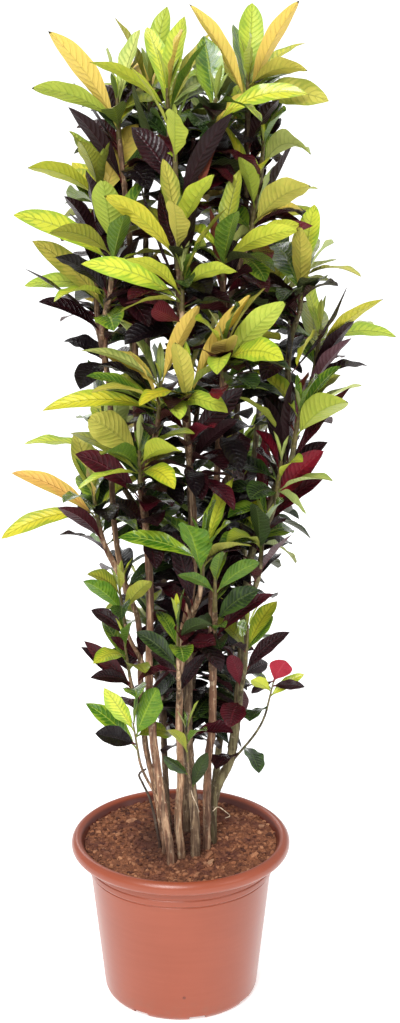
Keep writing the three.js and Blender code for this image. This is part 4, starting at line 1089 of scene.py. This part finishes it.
def stem_outlines(paths):
    """All the stems as rough square tubes, in one tree."""
    points, faces = [], []
    for path in paths:
        count = max(2, round(path.length / STEM_STEP))
        for i in range(count + 1):
            start = len(points)
            at = path.at(i / count)
            points += [at + Vector((x, y, 0)) * STEM_RADIUS for x, y in ((-1, 0), (0, -1), (1, 0), (0, 1))]
            for k in range(4 if i else 0):
                after = (k + 1) % 4
                faces.append((start - 4 + k, start - 4 + after, start + after, start + k))
    return BVHTree.FromPolygons(points, faces)


def is_clear(leaf, crowd):
    """Whether a leaf keeps inside its bounds, off the other midribs, and out of sight of noted leaves."""
    points = marks_of(leaf)
    low, high = cad_box
    if any(not low[k] + BOX_EDGE < p[k] < high[k] - BOX_EDGE for p in points for k in range(3)):
        return False
    if min(np.linalg.norm(crowd["marks"] - np.array(p), axis=1).min() for p in points) < CLEAR:
        return False
    if min(p.z for p in points) < LOWEST:
        return False
    lines, lefts, rights = zip(*BOUNDS)
    guarded = crowd["guarded"]
    for p in points:
        px, py, far = seen(p)
        if not np.interp(py, lines, lefts) < px < np.interp(py, lines, rights):
            return False
        gap = np.hypot(guarded[:, 0] - px, guarded[:, 1] - py)
        if ((gap < guarded[:, 2]) & (guarded[:, 3] > far)).any():
            return False
    return True


def fits(leaf, crowd):
    """Whether a leaf is clear, and its blade goes through no stem and no other blade."""
    if not is_clear(leaf, crowd):
        return False
    blade, middle, reach = blade_outline(leaf)
    return not blade.overlap(crowd["stems"]) and not any(
        (middle - other_middle).length < reach + other_reach and blade.overlap(other)
        for other, other_middle, other_reach in crowd["blades"])


def take_room(leaf, crowd):
    """Adds a leaf to those that the next ones keep off."""
    crowd["marks"] = np.vstack([crowd["marks"], [tuple(p) for p in marks_of(leaf)]])
    crowd["blades"].append(blade_outline(leaf))


def leaf_finish():
    material, tree, shader, where = new_finish("croton_leaf", IOR=1.45, Specular_IOR_Level=0.3,
                                               Coat_Roughness=0.14, Coat_IOR=1.6)
    along, across, under, own = [read(tree, name) for name in ("along", "across", "under", "own")]
    face, patched, vein, back = [read(tree, name, 0) for name in ("face", "patch", "vein", "back")]
    off = across.size()
    wander = noise(tree, where, 95.0, 3.0)
    slant = along * (12 + own * 3) - off - off * off * 0.9 + (wander - 0.5) * 0.35
    apart = slant.ping(0.5)
    lateral = (1 - apart / 0.1).clamp() * (1 - off * 0.75)
    net = (1 - (noise(tree, where, 330.0, 2.0) - 0.5).size() / 0.035).clamp()
    rib = (1 - off / 0.1).clamp() * (1 - along * 0.45)
    patch = (noise(tree, where, 42.0, 3.0) + (off - 0.5) * 0.45 + (0.5 - along) * 0.2
             + (0.25 - apart) * 0.38).ramp(0.41, 0.63)
    face = (patch * read(tree, "patching")).mix(face, patched)
    veins = (lateral + net * 0.25 + rib * 1.6).clamp() * read(tree, "veined")
    face = veins.mix(face, vein)
    # Painted highlight: soft pale patches are laid over the upper face as a painted sheen.
    painted_sheen = noise(tree, where, 14.0, 2.0).ramp(0.35, 0.75)
    face = (painted_sheen * 0.16).mix(face, (1.0, 1.0, 0.92, 1.0), "OVERLAY")
    below = (wander.ramp(0.4, 0.7) * 0.35).mix((veins * 0.7).mix(back, vein), patched)
    stalk = 1 - along.ramp(0.1, 0.15)
    colour = (stalk * 0.6).mix(under.mix(face, below), read(tree, "stalk", 0))
    rough = read(tree, "gloss") * 0.85 + wander * 0.1 + under * 0.14
    set_looks(tree, shader, colour, rough, apart * 0.8 - rib * 0.9 - lateral * 0.5 + net * -0.12, 0.0011)
    tree.links.new((read(tree, "waxy") * (1 - under)).socket, shader.inputs["Coat Weight"])
    return material


def shoot_finish():
    material, tree, shader, where = new_finish("green_shoot", Specular_IOR_Level=0.4)
    mottle = noise(tree, where, 160.0, 4.0)
    ring = 1 - (read(tree, "along") + mottle * 0.002).ping(0.004) / 0.004
    colour = mottle.ramp(0.35, 0.7).mix(paint(82, 72, 40), paint(112, 100, 56))
    colour = (ring.ramp(0.7, 0.95) * 0.35).mix(colour, paint(84, 66, 42))
    set_looks(tree, shader, colour, 0.42 + mottle * 0.2, ring * 0.6 + mottle * 0.4, 0.0006)
    return material


def merged(tree, shape, distance):
    return Wire.node(tree, "GeometryNodeMergeByDistance", {"Geometry": shape, "Distance": distance})


def flat_blade(tree, given):
    """A blade one unit long and wide: two sheets, joined round the margin, that know their place in it."""
    sheets = []
    for turn in (1, -1):
        grid = Wire.node(tree, "GeometryNodeMeshGrid", {
            "Size X": 1.0, "Size Y": 1.0, "Vertices X": given["Rows"], "Vertices Y": given["Columns"]})
        place = Wire.node(tree, "GeometryNodeInputPosition")
        along, across = place.axis(0) + 0.5, place.axis(1) * 2
        across = across.math("SIGN") * across.size() ** 1.25
        body = (1 - across.size() ** 2.5).clamp() * (1 - (along * 2 - 1).size() ** 30).clamp()
        for name, value in (("along", along), ("across", across), ("lift", body * turn)):
            grid = stored(tree, grid, name, value)
        grid = stored(tree, grid, "under", 0.0 if turn > 0 else 1.0, domain="FACE")
        apart = Wire.node(tree, "ShaderNodeCombineXYZ", {2: body * (0.1 * turn)})
        grid = moved(tree, grid, Offset=apart)
        sheets.append(grid if turn > 0 else Wire.node(tree, "GeometryNodeFlipFaces", {0: grid}))
    return merged(tree, joined(tree, sheets), 0.0005)


def summed(*parts):
    """The sum of vectors, each given with its scale."""
    total, *others = [vector.vector("SCALE", scale) for vector, scale in parts]
    for other in others:
        total = total.vector("ADD", other)
    return total


def blade_tree(leaf_material, shoot_material):
    """Leaves on points and a shoot on each edge."""
    tree, given = new_tree("leafy_head", {**BLADE, "Step": SHOOT_STEP})
    points = Wire.node(tree, "GeometryNodeInstanceOnPoints", {
        "Points": given["Geometry"], "Selection": noted(tree, "half").math("GREATER_THAN", 0.0001),
        "Instance": flat_blade(tree, given)})
    leaves = Wire.node(tree, "GeometryNodeRealizeInstances", {0: points})
    u, v, lift, half, own, stalky = [
        noted(tree, name) for name in ("along", "across", "lift", "half", "own", "stalky")]
    root, knee, tip, side = [noted(tree, name, "FLOAT_VECTOR") for name in ("root", "knee", "tip", "side")]

    rest = 1 - u
    rib = summed((root, rest * rest), (knee, u * rest * 2), (tip, u * u))
    ahead = summed((knee.vector("SUBTRACT", root), rest * 2), (tip.vector("SUBTRACT", knee), u * 2))
    ahead = ahead.vector("NORMALIZE")
    forward = ahead.vector("SCALE", side.vector("DOT_PRODUCT", ahead))
    flat = side.vector("SUBTRACT", forward).vector("NORMALIZE")
    up = flat.vector("CROSS_PRODUCT", ahead)

    t = ((u - given["Stalk"]) / (1 - given["Stalk"])).clamp()
    outline = t ** noted(tree, "base") * (1 - t) ** noted(tree, "point") * noted(tree, "peak")
    uneven = 1 + (u * 21 + own * 40 + v * 2).math("SINE") * 0.025
    spread = half * outline * uneven + given["Stalk radius"] * (1 - u ** 2) * stalky
    phase = u * given["Waves"] * ROUND + own * 40 + v.math("SIGN") * 1.3
    ripple = phase.math("SINE") * v * v * given["Wave"] * noted(tree, "wavy") * (half / 0.02) * outline
    fold = v.size() ** 1.2 * spread * given["Fold"] * noted(tree, "fold")
    stalk = given["Stalk radius"] * 0.8 * (1 - u / 0.16).clamp() * stalky
    sheet = (given["Thickness"] + stalk) * lift
    ridge = (1 - v.size() / 0.16).clamp() * (1 - u * 0.85) * given["Rib"] * t.ramp(0.0, 0.05)
    ridge = ridge * ((1 - lift.math("SIGN")) * 0.5 + 0.25) * stalky
    place = summed((rib, 1.0), (flat, v * spread), (up, fold + ripple + sheet - ridge))
    leaves = merged(tree, moved(tree, leaves, Position=place), 0.00001)
    flat_map = Wire.node(tree, "ShaderNodeCombineXYZ", {0: u, 1: v * 0.5 + 0.5})
    leaves = painted(tree, stored(tree, leaves, "UVMap", flat_map, "FLOAT2", "CORNER"), leaf_material)

    stem = round_stem(tree, even_line(tree, given)[0], SHOOT_SIDES, noted(tree, "thick"))
    end_tree(tree, joined(tree, [leaves, painted(tree, stem, shoot_material)]))
    return tree


def leaf_points(leaves, shoot, draw, slim=1):
    """The leaves as points with their sizes and colours, and the shoot as one line."""
    mesh = bpy.data.meshes.new("leaf_points")
    line = [shoot[0], shoot[0].lerp(shoot[2], 0.5), shoot[2]] if shoot else []
    count = len(leaves)
    mesh.from_pydata([tuple(leaf["root"]) for leaf in leaves] + [tuple(p) for p in line],
                     [(count + i, count + i + 1) for i in range(len(line) - 1)], [])
    rows = []
    for leaf in leaves:
        face, patch, vein, back, gloss, patching, veined = TONES[leaf["tone"]]
        shade = 1 + (draw.random() - 0.5) * SHADE_RANGE
        warm = 1 + (draw.random() - 0.5) * WARM_RANGE
        if leaf.get("noted"):
            back = [FACE_SHARE * f + (1 - FACE_SHARE) * b for f, b in zip(face, back)]
        colours = [[c * s for c, s in zip(paint(*colour)[:3], (shade * warm, shade, shade / warm))] + [1.0]
                   for colour in (face, patch, vein, back)]
        stalk = paint(*(RED_STALK if leaf["tone"] in RED_STALKED else GREEN_STALK))
        small = leaf.get("small", False)
        base, point = 1.0 + 0.25 * draw.random(), 0.78 + 0.24 * draw.random()
        top = base / (base + point)
        rows.append(dict(
            root=leaf["root"], knee=leaf["knee"], tip=leaf["tip"], side=leaf["side"], half=leaf["half"],
            face=colours[0], patch=colours[1], vein=colours[2], back=colours[3], stalk=stalk, gloss=gloss,
            patching=patching, veined=veined, waxy=0.1 if small else WAXY.get(leaf["tone"], 0.06),
            own=draw.random(), base=base, point=point,
            peak=1 / (top ** base * (1 - top) ** point), stalky=0.35 if small else 1.0,
            wavy=0.3 + draw.random() * 0.9, fold=leaf["fold"], thick=0.0))
    ends = [slim * radius for radius in SHOOT_RADII]
    kinds = {3: ("FLOAT_VECTOR", "vector"), 4: ("FLOAT_COLOR", "color"), 1: ("FLOAT", "value")}
    for key, sample in rows[0].items():
        width = 1 if isinstance(sample, float) else len(sample)
        kind, field = kinds[width]
        data = [value for row in rows for value in ([row[key]] if width == 1 else row[key])]
        data += ends[:len(line)] if key == "thick" else [0.0] * (width * len(line))
        mesh.attributes.new(key, kind, "POINT").data.foreach_set(field, data)
    return mesh


leafy = blade_tree(leaf_finish(), shoot_finish())
young = {head: leaves_of(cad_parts["shoot_" + head]) for head in HEADS}
old = {cane: leaves_of(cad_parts["cane_" + cane]) for cane in CANES}
for i, (head, leaves) in enumerate(young.items()):
    low = carriers[head][1][0].z < LOW_HEADS
    crown = HEADS[head][0][1] < CROWN_LINE
    choices = LOW_TONES if low else CROWN_TONES if crown else YOUNG_TONES
    give_tones(leaves, [head], random.Random(SEEDS["young"] + i), choices)
for i, (cane, leaves) in enumerate(old.items()):
    give_tones(leaves, CANES[cane][4], random.Random(SEEDS["old"] + i), OLD_TONES)
for leaf in young["pink"]:
    if leaf["tone"] == "pink":
        leaf["fold"], leaf["half"] = PINK_FOLD, leaf["half"] * PINK_WIDTH
kept = [leaf for leaves in [*young.values(), *old.values()] for leaf in leaves]
folds = random.Random(SEEDS["fold"])
for leaf in kept:
    leaf.setdefault("fold", LEAST_FOLD + MORE_FOLD * folds.random())

# What added leaves keep off: points on the midribs, rough blades and stems, and the noted leaves as they
# are seen, each as its place in the view, the width it covers and how far away it is.
guards = [(*seen(midrib(leaf, u)), leaf["half"] * VIEW["focal"] / VIEW["back"])
          for leaf in kept if leaf.get("noted") for u in GUARD_SHARES]
crowd = {
    "marks": np.array([tuple(p) for leaf in kept for p in marks_of(leaf)]),
    "blades": [blade_outline(leaf) for leaf in kept],
    "stems": stem_outlines([*mains.values(), *[path for _, _, path in carriers.values()]]),
    "guarded": np.array([(px, py, wide, far) for px, py, far, wide in guards]),
}

for i, (head, (cane, shoot, path)) in enumerate(carriers.items()):
    draw = random.Random(SEEDS["added"] + i)
    low = shoot[0].z < LOW_HEADS
    share = LOW_SHARE if low else 1.0
    turn = draw.random() * ROUND
    more_young, more_old, reach = next(row[1:] for row in EXTRA if HEADS[head][0][1] < row[0])
    more_young += 0 if HEADS[head][1] else REAR_YOUNG
    more = more_young + more_old
    for rank in range(more + (0 if head == "pink" else TUFT)):
        for attempt in range(TRIES):
            azimuth = turn + rank * GOLDEN + (draw.random() - 0.5) * 0.5 * attempt
            if rank >= more:
                young[head].append(tuft_leaf(rank, azimuth, shoot, draw))
                break
            if rank < more_young:
                leaf = young_leaf(azimuth, shoot, share, LOW_TONES if low else YOUNG_TONES, draw)
            else:
                leaf = old_leaf(rank % 3 == 0, azimuth, shoot, path, reach, share, draw)
            if fits(leaf, crowd):
                (young[head] if rank < more_young else old[cane]).append(leaf)
                take_room(leaf, crowd)
                break

for i, (cane, count) in enumerate(SHADED.items()):
    draw, path = random.Random(SEEDS["shaded"] + i), mains[cane]
    for rank in range(count):
        for attempt in range(TRIES):
            leaf = shaded_leaf(path, draw)
            sides = [seen(midrib(leaf, u))[0] for u in (0.5, 1.0)]
            if SHADED_SIDES[0] < min(sides) and max(sides) < SHADED_SIDES[1] and fits(leaf, crowd):
                old[cane].append(leaf)
                take_room(leaf, crowd)
                break

for i, (head, leaves) in enumerate(young.items()):
    draw = random.Random(SEEDS["young_looks"] + i)
    source = leaf_points(leaves, carriers[head][1], draw, SLIM.get(head, 1))
    piece = grown("leaves_" + head, source, leafy, BLADE, sharp=70)
    settled(piece, "leaves", "shoot_" + head)
for i, (cane, leaves) in enumerate(old.items()):
    source = leaf_points(leaves, None, random.Random(SEEDS["old_looks"] + i))
    piece = grown("old_leaves_" + cane, source, leafy, BLADE, sharp=70)
    settled(piece, "leaves", "cane_" + cane)

# ---------------------------------------------------------------------------------------------
# The studio: a pale floor, soft light from large lamps and all round, and the viewpoint.

LAMPS = {
    "key": ((-0.7, -2.7, 2.9), 1.0, 34.0),
    "fill": ((2.4, -1.6, 1.9), 1.6, 10.0),
    "top": ((0.2, 0.8, 3.4), 1.6, 14.0),
    "back": ((-1.2, 2.6, 2.2), 1.6, 16.0),
}

SUN = dict(toward=(0.3, 0.95, -0.85), power=2.1, softness=40)
FLOOR_REACH, SKY_LIGHT, LAMPS_FACE = 60, 0.55, Vector((0, 0, 0.75))


def floor_finish():
    material, tree, shader, where = new_finish("pale_floor", Roughness=0.9, Specular_IOR_Level=0.1,
                                               Emission_Color=(1.0, 1.0, 1.0, 1.0), Emission_Strength=0.42)
    grain = noise(tree, where, 3.0, 2.0)
    set_looks(tree, shader, grain.mix(paint(250, 250, 250), paint(253, 253, 253)))
    return material


floor_mesh = bpy.data.meshes.new("floor")
corners = [(x * FLOOR_REACH, y * FLOOR_REACH, 0) for x, y in ((-1, -1), (1, -1), (1, 1), (-1, 1))]
floor_mesh.from_pydata(corners, [], [(0, 1, 2, 3)])
shown("floor", floor_mesh, floor_finish())

world = bpy.data.worlds.new("studio")
world.use_nodes = True
sky = world.node_tree.nodes["Background"].inputs
sky[0].default_value, sky[1].default_value = (1.0, 1.0, 1.0, 1.0), SKY_LIGHT
bpy.context.scene.world = world
for name, (place, size, power) in LAMPS.items():
    lamp = bpy.data.lights.new(name, "AREA")
    lamp.shape, lamp.size, lamp.energy = "DISK", size, power
    light = bpy.data.objects.new(name, lamp)
    light.location = place
    light.rotation_euler = (LAMPS_FACE - Vector(place)).to_track_quat("-Z", "Y").to_euler()
    bpy.context.collection.objects.link(light)

sun = bpy.data.lights.new("daylight", "SUN")
sun.energy, sun.angle = SUN["power"], math.radians(SUN["softness"])
daylight = bpy.data.objects.new("daylight", sun)
daylight.rotation_euler = Vector(SUN["toward"]).to_track_quat("-Z", "Y").to_euler()
bpy.context.collection.objects.link(daylight)

lens = bpy.data.cameras.new("viewpoint")
lens.sensor_width = 36.0
lens.lens = VIEW["focal"] * lens.sensor_width / VIEW["tall"]
camera = bpy.data.objects.new("viewpoint", lens)
camera.location = EYE
camera.rotation_euler = (math.pi / 2 - VIEW["pitch"], 0, 0)
bpy.context.collection.objects.link(camera)
bpy.context.scene.camera = camera
bpy.context.scene.view_settings.view_transform = "Standard"
